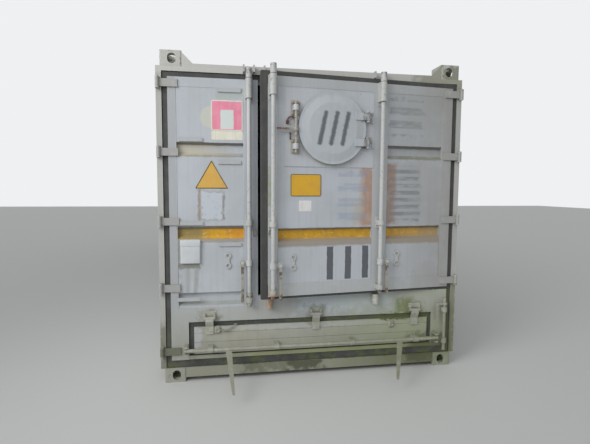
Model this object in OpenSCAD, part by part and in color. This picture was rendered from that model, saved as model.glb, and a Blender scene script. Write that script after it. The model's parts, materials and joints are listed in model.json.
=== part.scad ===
/* [Overall] */
// Length over the corner castings
container_l = 9125; // [6000:5:12200]
// Width over the door posts
container_w = 2500; // [2440:1:2600]
// Height over the corner castings
container_h = 2591; // [2500:1:2900]
// How far the roof and the header lie below the casting tops
roof_drop = 93; // [60:1:110]
// How far each corner casting is set in from the post's outer face
casting_inset = 31; // [10:1:40]

/* [Corner castings] */
// Casting length, along the container
casting_l = 178; // [160:1:200]
// Casting width, across the container
casting_w = 162; // [150:1:180]
// Casting height
casting_h = 118; // [110:1:130]
// Radius of a casting's upright edges
casting_edge_r = 10; // [4:1:14]
// Side and end wall of a casting
casting_wall = 12; // [8:1:12]
// Plate with the long slot, top or bottom
casting_plate = 28; // [20:1:30]
// Slot length, end to end
slot_l = 124; // [110:1:130]
// Slot width
slot_w = 63.5; // [50:0.5:70]
// Slot centre from the casting's side face
slot_in_x = 89.5; // [80:0.5:95]
// Slot centre from the casting's end face
slot_in_y = 103.5; // [90:0.5:103.5]
// Side and end hole width
face_hole_w = 64; // [50:1:70]
// Side and end hole height
face_hole_h = 78; // [70:1:84]

/* [Door posts] */
// Width of the post strip that shows beside the doors
post_strip_w = 42; // [30:1:50]
// Overall width of a post with its jamb
post_w = 90; // [80:1:110]
// Depth of a post along the container
post_d = 160; // [130:1:200]
// How far the jamb behind the seal lies back from the post face
jamb_y = 62; // [58:1:80]
// Post plate thickness
post_wall = 6; // [4:0.5:10]
// Depth of the posts at the closed end
front_post_d = 100; // [90:1:140]

/* [Header and sill] */
// Header height
header_h = 61; // [50:1:80]
// Header depth
header_d = 110; // [90:1:140]
// Sill underside above the ground
sill_z = 38; // [20:1:45]
// Sill depth
sill_d = 150; // [120:1:180]
// Plate of header, sill and end rails
beam_wall = 5; // [3:0.5:8]
// Thickness of the flat roof plates between the castings
head_plate_t = 4; // [3:0.5:6]
// Height of the stop lips behind the door seal
lip_h = 66; // [50:1:80]
// Thickness of the stop lips
lip_t = 6; // [4:1:8]
// How far the gussets beside the header stay below the casting tops
gusset_drop = 10; // [5:1:30]

/* [Side rails and underframe] */
// Underside of the bottom side rail
rail_z = 44; // [40:1:60]
// Top of the bottom side rail
rail_top = 205; // [190:1:230]
// Rail plate thickness
rail_wall = 6; // [4:0.5:8]
// Lower flange of the bottom side rail
rail_foot_w = 50; // [40:1:70]
// Upper flange of the bottom side rail
rail_cap_w = 40; // [38:1:60]
// Top side rail, square tube
top_rail = 60; // [50:1:80]
// Wall of the top side rail tube
top_rail_wall = 4; // [3:0.5:6]
// Spacing of the cross members
cross_pitch = 430; // [250:5:600]
// Height of a cross member
cross_h = 90; // [80:1:95]
// Flange width of a cross member
cross_w = 45; // [35:1:60]
// Plate of a cross member
cross_wall = 5; // [4:0.5:6]
// Floor thickness
floor_t = 28; // [20:1:28]

/* [Walls and roof] */
// Pitch of the wall corrugations
wall_pitch = 278; // [200:1:320]
// Depth of the wall corrugations
wall_depth = 34; // [20:1:36]
// Sloping flank of a wall corrugation
wall_flank = 50; // [40:1:70]
// Wall sheet thickness
wall_t = 2; // [1.5:0.1:3]
// Pitch of the roof corrugations
roof_pitch = 209; // [180:1:260]
// Sloping flank of a roof corrugation
roof_flank = 25; // [20:1:40]
// Depth of the roof corrugations
roof_depth = 20; // [10:1:24]
// Roof sheet thickness
roof_t = 2; // [1.5:0.1:3]
// Loading hatches in the roof
roof_hatch_count = 4; // [0:1:5]
// Outer radius of a roof hatch neck
roof_neck_r = 230; // [200:1:260]
// Overhang of a roof hatch lid beyond its neck
roof_lid_over = 22; // [15:1:40]
// Height of a roof hatch neck above the roof
roof_neck_h = 40; // [30:1:45]
// How far a roof hatch neck reaches below the roof folds
roof_neck_in = 10; // [5:1:20]

/* [Door leaves] */
// Depth of a door leaf
leaf_d = 50; // [40:1:54]
// How far the leaves stand proud of the posts
leaf_proud = 5; // [2:1:5]
// Gap between post strip and leaf, filled by the seal
seal_w = 43; // [35:1:50]
// Gap between header and leaf top
seal_top = 42; // [35:1:50]
// Gap between sill and the left leaf's bottom
seal_bottom = 64; // [40:1:70]
// Running gap between a seal and the frame or the other leaf
seal_gap = 5; // [5:1:8]
// The same gap at the far end of the foot, which swings
sweep_gap = 8; // [8:1:12]
// How far the seal's face lies behind the leaf face
seal_in = 13; // [10:1:20]
// Middle of the joint between the leaves, from the container's middle
meeting_x = -450; // [-500:1:-300]
// Width of the joint between the leaves
meeting_w = 60; // [50:1:80]
// Top of the left leaf's full-width foot
foot_top = 686; // [660:1:700]
// Bottom edge of the right leaf
right_leaf_z = 712; // [711:1:760]
// Top of the foot's beam beside the left leaf's sheet
left_sheet_z = 600; // [580:1:610]
// How far the foot's bottom rail lies behind the leaf face
foot_step = 5; // [0:1:8]
// Width of the left leaf's outer stile
left_stile_w = 60; // [50:1:80]
// Width of the left leaf's inner stile
inner_stile_w = 111; // [90:1:130]
// Width of the right leaf's free stile
free_stile_w = 74; // [60:1:90]
// Left edge of the right leaf's middle stile
mid_stile_x0 = 443; // [443:1:460]
// Width of the right leaf's middle stile
mid_stile_w = 126; // [100:1:140]
// Width of the right leaf's hinge stile
hinge_stile_w = 91; // [80:1:110]
// Door frame tube wall
frame_wall = 4; // [3:0.5:6]
// Door sheet thickness
sheet_t = 3; // [2:0.5:4]
// How far the door sheet lies behind the frame face
sheet_back = 2; // [1:0.5:4]
// Depth of the pressed ribs in the door sheets
rib_d = 32; // [20:1:36]
// Height of the pressed ribs
rib_h = 104; // [80:1:120]
// Height of the left leaf's lower recess above the hubs
recess_up = 188; // [120:1:260]
// How much lower the right leaf's lower recess lies
recess_step = 13.5; // [0:0.5:40]
// Upper flank of a pressed rib
rib_ledge = 10; // [6:1:20]
// Lower flank of a pressed rib
rib_slope = 26; // [15:1:40]
// Height of the top rail of a leaf
top_rail_h = 72; // [60:1:90]
// Height of the right leaf's bottom rail
bottom_rail_h = 101; // [80:1:120]
// Angle by which the right leaf stands open at rest
ajar = 5.9; // [0:0.1:20]

/* [Door hinges] */
// Radius of a hinge knuckle
knuckle_r = 14; // [12:1:16]
// Radius of a hinge pin
pin_r = 8; // [6:0.5:9]
// How far the hinge axis stands in front of the posts
hinge_out = 26; // [24:1:30]
// Height of a hinge blade
blade_h = 58; // [50:1:65]
// Thickness of a hinge blade
blade_t = 12; // [10:1:14]
// Length of a hinge blade from its pin
blade_l = 146; // [130:1:170]
// Thickness of a hinge lug
lug_t = 13; // [10:1:16]

/* [Lock rods] */
// Radius of a door lock rod
rod_r = 17; // [14:0.5:20]
// How far a rod's axis stands in front of the leaf face
rod_out = 45; // [40:1:50]
// Radius of the rod's cam at the header
cam_r = 24; // [21:1:28]
// How far the cams reach over the header's lower edge
cam_rise = 33; // [20:1:45]
// Gap between a cam and its jaws
jaw_gap = 9; // [8:1:12]
// How far the jaws stay from the header's edges
jaw_inset = 5; // [2:1:10]
// How far the left rod ends above the foot's beam
rod_foot = 10; // [5:1:20]
// How far the right leaf's rods end below the leaf
rod_drop = 5; // [0:1:8]
// Wall of a rod guide around its bore
guide_wall = 9; // [6:1:12]
// Height of a mid guide
guide_h = 42; // [30:1:60]
// Length of the top sleeve below the leaf's top edge
sleeve_l = 150; // [100:5:200]
// Place of the left rod across the container
rod_left_x = -550; // [-560:1:-540]
// Place of the middle rod
rod_middle_x = -390; // [-395:1:-380]
// Place of the right rod
rod_right_x = 502; // [490:1:520]
// Place of the short rod, in from the foot's end
short_rod_in = 37; // [36:1:50]
// Radius of the short rod
short_rod_r = 13; // [10:1:16]
// Height of the hubs that carry the handles
hub_z = 965; // [940:1:990]
// How far the handle pin stands beside its rod
hub_reach = 56; // [50:1:70]
// Radius of a hub disc
hub_r = 25; // [20:1:30]
// Length of the left rod's handle
left_handle_l = 318; // [250:1:340]
// Length of the handles on the right leaf
right_handle_l = 270; // [200:1:272]
// Thickness of a handle
handle_t = 10; // [8:1:14]

/* [Plate strips and box] */
// Length of a plate strip
strip_w = 178; // [150:1:200]
// Depth of a plate strip
strip_d = 10; // [6:1:14]
// Height of a plate strip's lip
strip_h = 30; // [20:1:40]
// How far the lowest strip laps over the stile
strip_lap = 12; // [8:1:20]
// How far the other strips stay from the stiles
strip_inset = 20; // [5:1:40]
// Gap between the leaf's hinge edge and the document box
box_in = 79; // [75:1:100]
// Width of the document box
box_w = 156; // [120:1:170]
// Underside of the document box
box_z = 960; // [930:1:980]
// Height of the document box
box_h = 186; // [150:1:190]
// Depth of the document box
box_d = 24; // [15:1:30]

/* [Discharge flap] */
// Width of the foot's end stiles beside the discharge opening
foot_end_w = 135; // [110:1:200]
// Top of that opening
flap_top = 487; // [460:1:500]
// Bottom of that opening
flap_bottom = 212; // [205:1:230]
// Width of the seal band around the flap
flap_seal_w = 41; // [30:1:50]
// Height of the seal band under the flap
flap_seal_low = 14; // [10:1:30]
// Flap sheet thickness
flap_t = 6; // [4:1:10]
// Depth of the flap's stiffening rim
flap_rim_d = 40; // [30:1:44]
// Height of the foot's own hinge above the foot's lower edge
foot_hinge_up = 75; // [60:1:100]
// Height of the flap's hinge axis
flap_hinge_z = 520; // [510:1:530]
// How far the flap's hinge axis stands in front of the leaf
flap_hinge_out = 20; // [18:1:26]
// Place of the outer flap hinges, in from the opening's ends
flap_hinge_in = 162; // [120:1:250]
// Width of a flap hinge strap
flap_strap_w = 62; // [50:1:80]
// Height of the flap's lock bar
bar_z = 277; // [265:1:300]
// How far the lock bar's axis stands in front of the leaf
bar_out = 65; // [60:1:75]
// Radius of the lock bar
bar_r = 15; // [12:1:20]
// How far the lock bar reaches past the opening's ends
bar_past = 32; // [26:1:50]
// Gap between the lock bar and its jaws
bar_jaw_gap = 10; // [8:1:14]
// Length of a flap hinge strap on the flap's face
strap_foot = 60; // [40:1:80]
// Length of a lever from the bar's axis
lever_l = 455; // [350:1:500]
// Angle of the levers below level
lever_dip = 22; // [0:1:25]
// Place of the levers, in from the opening's ends
lever_in = 311; // [270:1:400]
// Width of a lever at its socket
lever_w = 46; // [40:1:60]
// Width of a lever at its tip
lever_tip_w = 20; // [14:1:30]
// Thickness of a lever
lever_t = 12; // [10:1:16]
// Sideways bend of the left lever, to the right
left_lever_bend = 4; // [0:1:10]
// Sideways bend of the right lever, to the left
right_lever_bend = 23; // [0:1:25]
// Height of the flap's upper seam below its top edge
flap_seam_drop = 52; // [30:1:80]
// Width and depth of a seam in the flap's sheet
flap_seam = 3; // [2:0.5:4]

/* [Round hatch] */
// Place of the hatch across the container
hatch_x = 85; // [70:1:100]
// How far the hatch centre lies below the leaf's top
hatch_drop = 377; // [360:1:400]
// Radius of the hatch cover
cover_r = 275; // [250:1:280]
// Outer radius of the hatch neck
neck_r = 248; // [230:1:250]
// Wall of the hatch neck
neck_t = 5; // [4:1:8]
// How far the neck stands out of the door sheet
neck_out = 30; // [25:1:40]
// Thickness of the cover plate
cover_t = 5; // [4:1:8]
// Rise of the cover's crown
cover_rise = 10; // [6:1:14]
// Depth of the cover's skirt
skirt_d = 16; // [12:1:20]
// Height of the cover's hinges above and below its centre
cover_hinge_z = 102; // [90:1:120]
// How far the cover's hinge axis lies beyond its rim
cover_hinge_gap = 18; // [16:1:24]
// How far the cover's hinge axis stands in front of the leaf face
cover_hinge_out = 36; // [36:1:40]
// Inset of the cover's crown from its rim
crown_in = 20; // [10:1:30]
// Width of the crown's slope
crown_slope = 60; // [40:1:80]
// Left edge of the plate round the hatch
collar_x0 = -289; // [-300:1:-280]
// Right edge of that plate
collar_x1 = 443; // [430:1:443]
// How far that plate reaches below the hatch centre
collar_low = 296; // [280:1:320]
// How far that plate reaches above the hatch centre
collar_high = 292; // [280:1:300]
// Radius of the hatch lock bar
hatch_bar_r = 11; // [9:1:13]
// Half length of the hatch lock bar
hatch_bar_half = 193; // [170:1:210]
// Gap between the cover's rim and the hatch lock bar
hatch_bar_gap = 12; // [8:1:16]
// Length of the hatch lever
hatch_lever_l = 148; // [120:1:152]
// Height of the hatch lever's hub
hatch_hub_h = 30; // [20:1:40]

/* [Hidden] */
$fn = 48;
slack = 0.3;
play = 1;
over = 10;
half_w = container_w / 2;
face_z = container_h - casting_h;
casting_x1 = half_w - casting_inset;
casting_x0 = casting_x1 - casting_w;
header_top = container_h - roof_drop;
header_z = header_top - header_h;
bar_y = -leaf_proud - bar_out;
lever_run = (lever_l - lever_tip_w / 2) * cos(min(left_lever_bend, right_lever_bend)) + lever_tip_w / 2;
front_reach = -bar_y + lever_run * cos(lever_dip) + lever_t / 2 * sin(lever_dip);
door_y = (front_reach - container_l) / 2;
floor_z = rail_z + rail_wall + cross_h;
floor_top = floor_z + floor_t;
jamb_x = half_w - post_w;
strip_x = half_w - post_strip_w;
leaf_x1 = strip_x - seal_w;
leaf_top = header_z - seal_top;
leaf_z = casting_h + seal_bottom;
leaf_y = -leaf_proud;
leaf_back = leaf_y + leaf_d;
left_edge = meeting_x - meeting_w / 2;
right_edge = meeting_x + meeting_w / 2;
sheet_y = leaf_y + sheet_back;
axis_x = half_w - knuckle_r;
axis_y = -hinge_out;
rod_y = leaf_y - rod_out;
rod_top = header_z + cam_rise;
seal_y0 = leaf_y + seal_in;
seal_y1 = jamb_y - seal_gap;
wall_y0 = post_d;
wall_y1 = container_l - front_post_d;
mid_stile_x1 = mid_stile_x0 + mid_stile_w;
// Places up the leaves, as shares of the right leaf's height
upper_rib_share = 0.647;
hinge_shares = [0.971, 0.663, 0.345, 0.033];
guide_share = 0.326;
function up_leaf(share) = right_leaf_z + share * (leaf_top - right_leaf_z);
foot_rib_z = left_sheet_z + rib_h / 5;
left_rib_z = [up_leaf(upper_rib_share), hub_z + recess_up, foot_rib_z];
middle_rib_z = [hub_z + recess_up - recess_step];
right_rib_z = concat([up_leaf(upper_rib_share)], middle_rib_z);
hinge_z = [for (s = hinge_shares) up_leaf(s)];
guide_z = [up_leaf(guide_share)];
foot_hinge_z = leaf_z + foot_hinge_up;
flap_half_w = leaf_x1 - foot_end_w;
flap_hinge_pitch = flap_half_w - flap_hinge_in;
bar_half_l = flap_half_w + bar_past;
lever_x = flap_half_w - lever_in;
rod_short_x = leaf_x1 - short_rod_in;
box_x = box_in - leaf_x1;
hatch_z = leaf_top - hatch_drop;
collar_z0 = hatch_z - collar_low;
collar_z1 = hatch_z + collar_high;
flap_axis_y = leaf_y - flap_hinge_out;
cover_axis_x = hatch_x + cover_r + cover_hinge_gap;
cover_axis_y = leaf_y - cover_hinge_out;
hatch_bar_x = hatch_x - cover_r - hatch_bar_gap - hatch_bar_r;

paint = [0.70, 0.73, 0.77];
frame_paint = [0.72, 0.72, 0.69];
rubber = [0.16, 0.17, 0.17];
steel = [0.66, 0.66, 0.62];
rust = [0.48, 0.33, 0.24];

// A box between two corners
module slab(x0, x1, y0, y1, z0, z1) translate([x0, y0, z0]) cube([x1 - x0, y1 - y0, z1 - z0]);

// The door face is at y = 0 here, and the origin lies under the middle of the whole object
module in_frame() translate([0, door_y, 0]) children();

module both_sides() {
    children();
    mirror([1, 0, 0]) children();
}

// The right leaf stands open by the ajar angle about its hinge axis
module on_right_leaf() in_frame() translate([axis_x, axis_y, 0]) rotate([0, 0, ajar])
    translate([-axis_x, -axis_y, 0]) children();

// A square tube across the container, open at its ends
module tube_x(x0, x1, y0, y1, z0, z1, wall) difference() {
    slab(x0, x1, y0, y1, z0, z1);
    slab(x0 - over, x1 + over, y0 + wall, y1 - wall, z0 + wall, z1 - wall);
}

// A square tube standing up, open at its ends
module tube_z(x0, x1, y0, y1, z0, z1, wall) difference() {
    slab(x0, x1, y0, y1, z0, z1);
    slab(x0 + wall, x1 - wall, y0 + wall, y1 - wall, z0 - over, z1 + over);
}

// A square tube along the container, open at its ends
module tube_y(x0, x1, y0, y1, z0, z1, wall) difference() {
    slab(x0, x1, y0, y1, z0, z1);
    slab(x0 + wall, x1 - wall, y0 - over, y1 + over, z0 + wall, z1 - wall);
}

// A round bar standing up
module bar_up(r, z0, z1) translate([0, 0, z0]) cylinder(r = r, h = z1 - z0);

// A slot outline, long along Y
module slot_2d(w, l) {
    square([w, l - w], center = true);
    for (end = [-1, 1]) translate([0, end * (l - w) / 2]) circle(d = w);
}

// A rectangle with round corners between two corners
module round_2d(x0, x1, y0, y1, r) {
    translate([x0 + r, y0]) square([x1 - x0 - 2 * r, y1 - y0]);
    translate([x0, y0 + r]) square([x1 - x0, y1 - y0 - 2 * r]);
    for (x = [x0 + r, x1 - r], y = [y0 + r, y1 - r]) translate([x, y]) circle(r = r);
}

// One corner casting with its foot at z = 0, its outer corner at the origin and its holes open
module casting() {
    mid_x = -slot_in_x;
    mid_y = slot_in_y;
    difference() {
        linear_extrude(casting_h) round_2d(-casting_w, 0, 0, casting_l, casting_edge_r);
        slab(casting_wall - casting_w, -casting_wall, casting_wall, casting_l - casting_wall,
            casting_plate, casting_h - casting_wall);
        translate([mid_x, mid_y, -over]) linear_extrude(casting_plate + 2 * over) slot_2d(slot_w, slot_l);
        translate([mid_x, casting_wall + over, casting_h / 2]) rotate([90, 0, 0])
            linear_extrude(casting_wall + 2 * over) slot_2d(face_hole_w, face_hole_h);
        translate([-casting_wall - over, mid_y, casting_h / 2]) rotate([90, 0, 90])
            linear_extrude(casting_wall + 2 * over) slot_2d(face_hole_w, face_hole_h);
    }
}

module casting_ring() both_sides() {
    translate([casting_x1, 0, 0]) casting();
    translate([casting_x1, container_l, 0]) mirror([0, 1, 0]) casting();
}

module bottom_castings() color(frame_paint) in_frame() casting_ring();

module top_castings() color(frame_paint) in_frame()
    translate([0, 0, container_h]) mirror([0, 0, 1]) casting_ring();

// Folded post: the strip beside the door in front, the jamb behind the seal further in
module door_posts() color(frame_paint) in_frame() both_sides()
    translate([0, 0, casting_h]) linear_extrude(face_z - casting_h) difference() {
        polygon([[strip_x, 0], [half_w, 0], [half_w, post_d], [jamb_x, post_d],
            [jamb_x, jamb_y], [strip_x, jamb_y]]);
        polygon([[strip_x + post_wall, post_wall], [half_w - post_wall, post_wall],
            [half_w - post_wall, post_d - post_wall], [jamb_x + post_wall, post_d - post_wall],
            [jamb_x + post_wall, jamb_y + post_wall], [strip_x + post_wall, jamb_y + post_wall]]);
    }

module front_posts() color(frame_paint) in_frame() both_sides()
    tube_z(jamb_x, half_w, wall_y1, container_l, casting_h, face_z, post_wall);

// Header tube between the posts and castings, its roof plate and its end gussets
module door_header() color(frame_paint) in_frame() {
    difference() {
        tube_x(-strip_x, strip_x, 0, header_d, header_z, header_top, beam_wall);
        both_sides() slab(casting_x0, half_w, -over, post_d, face_z, container_h);
        both_sides() slab(jamb_x, half_w, jamb_y, post_d, 0, container_h);
    }
    slab(-casting_x0, casting_x0, header_d, casting_l, header_top - head_plate_t, header_top);
    gusset = container_h - header_top - gusset_drop;
    both_sides() translate([casting_x0, casting_wall, header_top]) rotate([90, 0, 0])
        linear_extrude(casting_wall) polygon([[0, 0], [0, gusset], [-gusset, 0]]);
}

module door_sill() color(frame_paint) in_frame()
    tube_x(-casting_x0, casting_x0, 0, sill_d, sill_z, casting_h, beam_wall);

// Plates behind the door seals, under the header and on the sill, and the riser at the floor's edge
module stop_lips() color(frame_paint) in_frame() {
    slab(-jamb_x, jamb_x, jamb_y, jamb_y + lip_t, header_z - lip_h, header_z);
    slab(-jamb_x, jamb_x, jamb_y, jamb_y + lip_t, casting_h, casting_h + lip_h);
    slab(-jamb_x, jamb_x, sill_d - beam_wall, sill_d, casting_h, floor_z);
}

module front_rails() color(frame_paint) in_frame() {
    tube_x(-casting_x0, casting_x0, wall_y1, container_l, sill_z, casting_h, beam_wall);
    tube_x(-jamb_x, jamb_x, wall_y1, container_l, casting_h, rail_top, beam_wall);
    difference() {
        tube_x(-jamb_x, jamb_x, wall_y1, container_l, header_z, header_top, beam_wall);
        both_sides() slab(casting_x0, half_w, container_l - casting_l - over, container_l + over,
            face_z, container_h);
    }
    slab(-casting_x0, casting_x0, container_l - casting_l, wall_y1, header_top - head_plate_t, header_top);
}

// Bottom channels with their flanges inwards, and square top tubes
module side_rails() color(frame_paint) in_frame() both_sides() {
    difference() {
        slab(half_w - rail_foot_w, half_w, wall_y0, wall_y1, rail_z, rail_top);
        slab(half_w - rail_foot_w - over, half_w - rail_wall, wall_y0 - over, wall_y1 + over,
            rail_z + rail_wall, rail_top - rail_wall);
        slab(half_w - rail_foot_w - over, half_w - rail_cap_w, wall_y0 - over, wall_y1 + over,
            rail_top - rail_wall - over, rail_top + over);
        slab(0, half_w + over, 0, casting_l, 0, casting_h);
        slab(0, half_w + over, container_l - casting_l, container_l, 0, casting_h);
    }
    difference() {
        tube_y(half_w - top_rail, half_w, wall_y0, wall_y1, header_top - top_rail, header_top,
            top_rail_wall);
        slab(0, half_w + over, 0, casting_l, face_z, container_h);
        slab(0, half_w + over, container_l - casting_l, container_l, face_z, container_h);
    }
}

// Channels under the floor, resting on the rails' lower flanges
module cross_members() color(frame_paint) in_frame() {
    first = casting_l + cross_w / 2;
    run = container_l - 2 * first - cross_w;
    count = floor(run / cross_pitch);
    for (i = [0:count]) translate([0, first + i * run / count, rail_z + rail_wall]) difference() {
        slab(rail_wall - half_w, half_w - rail_wall, 0, cross_w, 0, cross_h);
        slab(-half_w, half_w, cross_wall, cross_w + over, cross_wall, cross_h - cross_wall);
    }
}

// Trapezoid folds along X from 0 to l, and the same line moved back by the sheet
function folds(l, pitch, flank, depth) = let (count = floor(l / pitch), p = l / count,
    flat = p / 2 - flank) [for (i = [0:count - 1]) each [[i * p, 0], [i * p + flat, 0],
    [i * p + flat + flank, depth], [i * p + 2 * flat + flank, depth]], [l, 0]];
function moved(line, t) = [for (p = line) [p[0], p[1] + t]];
function reversed(line) = [for (i = [len(line) - 1:-1:0]) line[i]];

module folded_sheet(l, pitch, flank, depth, t) {
    line = folds(l, pitch, flank, depth);
    polygon(concat(line, reversed(moved(line, t))));
}

module side_walls() color(paint) in_frame() {
    for (side = [0, 1]) mirror([side, 0, 0])
        translate([half_w, wall_y0, rail_top]) linear_extrude(header_top - top_rail - rail_top)
            rotate(90) folded_sheet(wall_y1 - wall_y0, wall_pitch, wall_flank, wall_depth, wall_t);
}

module front_wall() color(paint) in_frame()
    translate([jamb_x, container_l, rail_top]) linear_extrude(header_z - rail_top)
        rotate(180) folded_sheet(2 * jamb_x, wall_pitch, wall_flank, wall_depth, wall_t);

module roof_hatch_row() {
    run = container_l - 2 * casting_l;
    if (roof_hatch_count > 0) for (i = [0:roof_hatch_count - 1])
        translate([0, casting_l + (i + 0.5) * run / roof_hatch_count, header_top]) children();
}

module roof_panel() color(paint) in_frame() difference() {
    translate([top_rail - half_w, casting_l, header_top - roof_t]) rotate([90, 0, 90])
        linear_extrude(container_w - 2 * top_rail) mirror([0, 1])
        folded_sheet(container_l - 2 * casting_l, roof_pitch, roof_flank, roof_depth, roof_t);
    roof_hatch_row() translate([0, 0, -2 * roof_depth])
        cylinder(r = roof_neck_r + slack, h = 4 * roof_depth);
}

// Short round necks with lids clamped on them
module roof_hatches() color(paint) in_frame() roof_hatch_row() {
    translate([0, 0, -roof_depth - roof_neck_in]) difference() {
        cylinder(r = roof_neck_r, h = roof_depth + roof_neck_in + roof_neck_h);
        translate([0, 0, -over]) cylinder(r = roof_neck_r - neck_t, h = roof_neck_h + 4 * roof_depth);
    }
    translate([0, 0, roof_neck_h]) difference() {
        union() {
            cylinder(r = roof_neck_r + roof_lid_over, h = cover_t);
            translate([0, 0, -skirt_d]) cylinder(r = roof_neck_r + roof_lid_over, h = skirt_d);
        }
        translate([0, 0, -skirt_d - over])
            cylinder(r = roof_neck_r + roof_lid_over - cover_t, h = skirt_d + over);
    }
}

module floor() color([0.42, 0.38, 0.33]) in_frame() {
    slab(rail_wall - half_w, half_w - rail_wall, wall_y0, wall_y1, floor_z, floor_top);
    slab(-jamb_x, jamb_x, jamb_y + lip_t, wall_y0, floor_z, floor_top);
}

// Plan outline of a hinge ear round the axis at the origin, with its web back to a face
module ear_2d(r, web) {
    circle(r = r);
    translate([-r, 0]) square([2 * r, web]);
}

// Two ears and the pin of a door hinge at height z
module door_lug(z) translate([axis_x, axis_y, z]) {
    for (end = [-1, 1]) translate([0, 0, end * (blade_h / 2 + play + lug_t / 2) - lug_t / 2])
        linear_extrude(lug_t) ear_2d(knuckle_r, hinge_out);
    bar_up(pin_r, -blade_h / 2 - play - lug_t, blade_h / 2 + play + lug_t + play * 4);
}

module hinge_lugs() color(frame_paint) in_frame() {
    both_sides() for (z = hinge_z) door_lug(z);
    mirror([1, 0, 0]) door_lug(foot_hinge_z);
}

// A hinge blade and its knuckle at height z, for the right side
module door_blade(z) translate([axis_x, axis_y, z - blade_h / 2]) linear_extrude(blade_h) difference() {
    union() {
        circle(r = knuckle_r);
        translate([-blade_l, hinge_out - leaf_proud - blade_t]) square([blade_l, blade_t]);
    }
    circle(r = pin_r + slack);
}

module left_leaf_hinges() color(paint) in_frame() mirror([1, 0, 0]) {
    for (z = hinge_z) door_blade(z);
    door_blade(foot_hinge_z);
}

module right_leaf_hinges() color(paint) on_right_leaf() for (z = hinge_z) door_blade(z);

// Side view of a pressed sheet: ribs lie back from the face, z runs along the first axis
function rib_line(z, t) = [[z - t, 0], [z + rib_slope - t, rib_d],
    [z + rib_h - rib_ledge + t, rib_d], [z + rib_h + t, 0]];
function pressed_line(z0, z1, ribs, t) = concat([[z0, 0]],
    [for (i = [len(ribs) - 1:-1:0]) each rib_line(ribs[i], t)], [[z1, 0]]);

module pressed_sheet(x0, x1, z0, z1, ribs) translate([x0, sheet_y, 0]) rotate([90, 0, 90])
    linear_extrude(x1 - x0) polygon([for (p = concat(pressed_line(z0, z1, ribs, 0),
        reversed(moved(pressed_line(z0, z1, ribs, sheet_t), sheet_t)))) [p[1], p[0]]]);

// Stiles, top rail and pressed sheet of the narrow left door
module left_leaf_upright() color(paint) in_frame() {
    x0 = -leaf_x1;
    tube_z(x0, x0 + left_stile_w, leaf_y, leaf_back, left_sheet_z, leaf_top - top_rail_h, frame_wall);
    tube_z(left_edge - inner_stile_w, left_edge, leaf_y, leaf_back, left_sheet_z,
        leaf_top - top_rail_h, frame_wall);
    tube_x(x0, left_edge, leaf_y, leaf_back, leaf_top - top_rail_h, leaf_top, frame_wall);
    pressed_sheet(x0 + left_stile_w, left_edge - inner_stile_w, left_sheet_z, leaf_top - top_rail_h,
        left_rib_z);
}

// The foot's beam over the discharge opening, higher beside the upright
module foot_top_beam() color(paint) in_frame() {
    tube_x(-leaf_x1, leaf_x1, leaf_y, leaf_back, flap_top, left_sheet_z, frame_wall);
    tube_x(left_edge, leaf_x1, leaf_y, leaf_back, left_sheet_z, foot_top, frame_wall);
}

module foot_bottom_beam() color(paint) in_frame()
    tube_x(-flap_half_w, flap_half_w, leaf_y + foot_step, leaf_back, leaf_z, flap_bottom, frame_wall);

module foot_end_stiles() color(paint) in_frame() both_sides()
    tube_z(flap_half_w, leaf_x1, leaf_y, leaf_back, leaf_z, flap_top, frame_wall);

// Rubber strips round a leaf; each rides with the leaf
module left_leaf_seal() color(rubber) in_frame() {
    slab(-strip_x + seal_gap, -leaf_x1, seal_y0, seal_y1, casting_h + seal_gap, leaf_top);
    slab(-strip_x + seal_gap, left_edge, seal_y0, seal_y1, leaf_top, header_z - seal_gap);
    slab(-leaf_x1, leaf_x1, seal_y0, seal_y1, casting_h + seal_gap, leaf_z);
    slab(leaf_x1, strip_x - sweep_gap, seal_y0, seal_y1, casting_h + seal_gap, foot_top);
}

module right_leaf_seal() color(rubber) on_right_leaf() {
    low = foot_top + seal_gap;
    slab(leaf_x1, strip_x - seal_gap, seal_y0, seal_y1, low, leaf_top);
    slab(right_edge, strip_x - seal_gap, seal_y0, seal_y1, leaf_top, header_z - seal_gap);
    slab(left_edge + 2 * seal_gap, right_edge, seal_y0, seal_y1, low, header_z - seal_gap);
    slab(right_edge, leaf_x1, seal_y0, seal_y1, low, right_leaf_z);
}

// Bearing round a rod, its axis at the origin, standing on the leaf face
module guide(r, out, h) linear_extrude(h) difference() {
    union() {
        circle(r = r + slack + guide_wall);
        translate([-r - guide_wall, 0]) square([2 * (r + guide_wall), out]);
    }
    circle(r = r + slack);
}

// Flat two-lobed plate that takes a handle when it lies level
module catch_plate(x) translate([x, sheet_y, hub_z + hub_r / 2]) rotate([90, 0, 0]) {
    linear_extrude(handle_t) difference() {
        union() {
            for (end = [-1, 1]) translate([0, end * hub_r * 1.6]) circle(r = hub_r);
            square([hub_r, hub_r * 2.4], center = true);
        }
        for (end = [-1, 1]) translate([0, end * hub_r * 1.6]) circle(r = hub_r / 2);
    }
}

module left_rod_guides() color(steel) in_frame() {
    translate([rod_left_x, rod_y, 0]) {
        translate([0, 0, leaf_top - sleeve_l]) guide(rod_r, rod_out, sleeve_l);
        for (z = concat(guide_z, [left_sheet_z + guide_h])) translate([0, 0, z])
            guide(rod_r, rod_out, guide_h);
    }
    translate([rod_short_x, rod_y, 0]) for (z = [leaf_z + guide_h, flap_top + guide_wall])
        translate([0, 0, z]) guide(short_rod_r, rod_out, guide_h);
    catch_plate(rod_left_x - 3 * hub_reach);
}

module right_rod_guides() color(steel) on_right_leaf() for (x = [rod_middle_x, rod_right_x]) {
    translate([x, rod_y, 0]) {
        translate([0, 0, leaf_top - sleeve_l]) guide(rod_r, rod_out, sleeve_l);
        for (z = concat(guide_z, [right_leaf_z + guide_h / 2])) translate([0, 0, z])
            guide(rod_r, rod_out, guide_h);
    }
    catch_plate(x + 3 * hub_reach);
}

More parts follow.
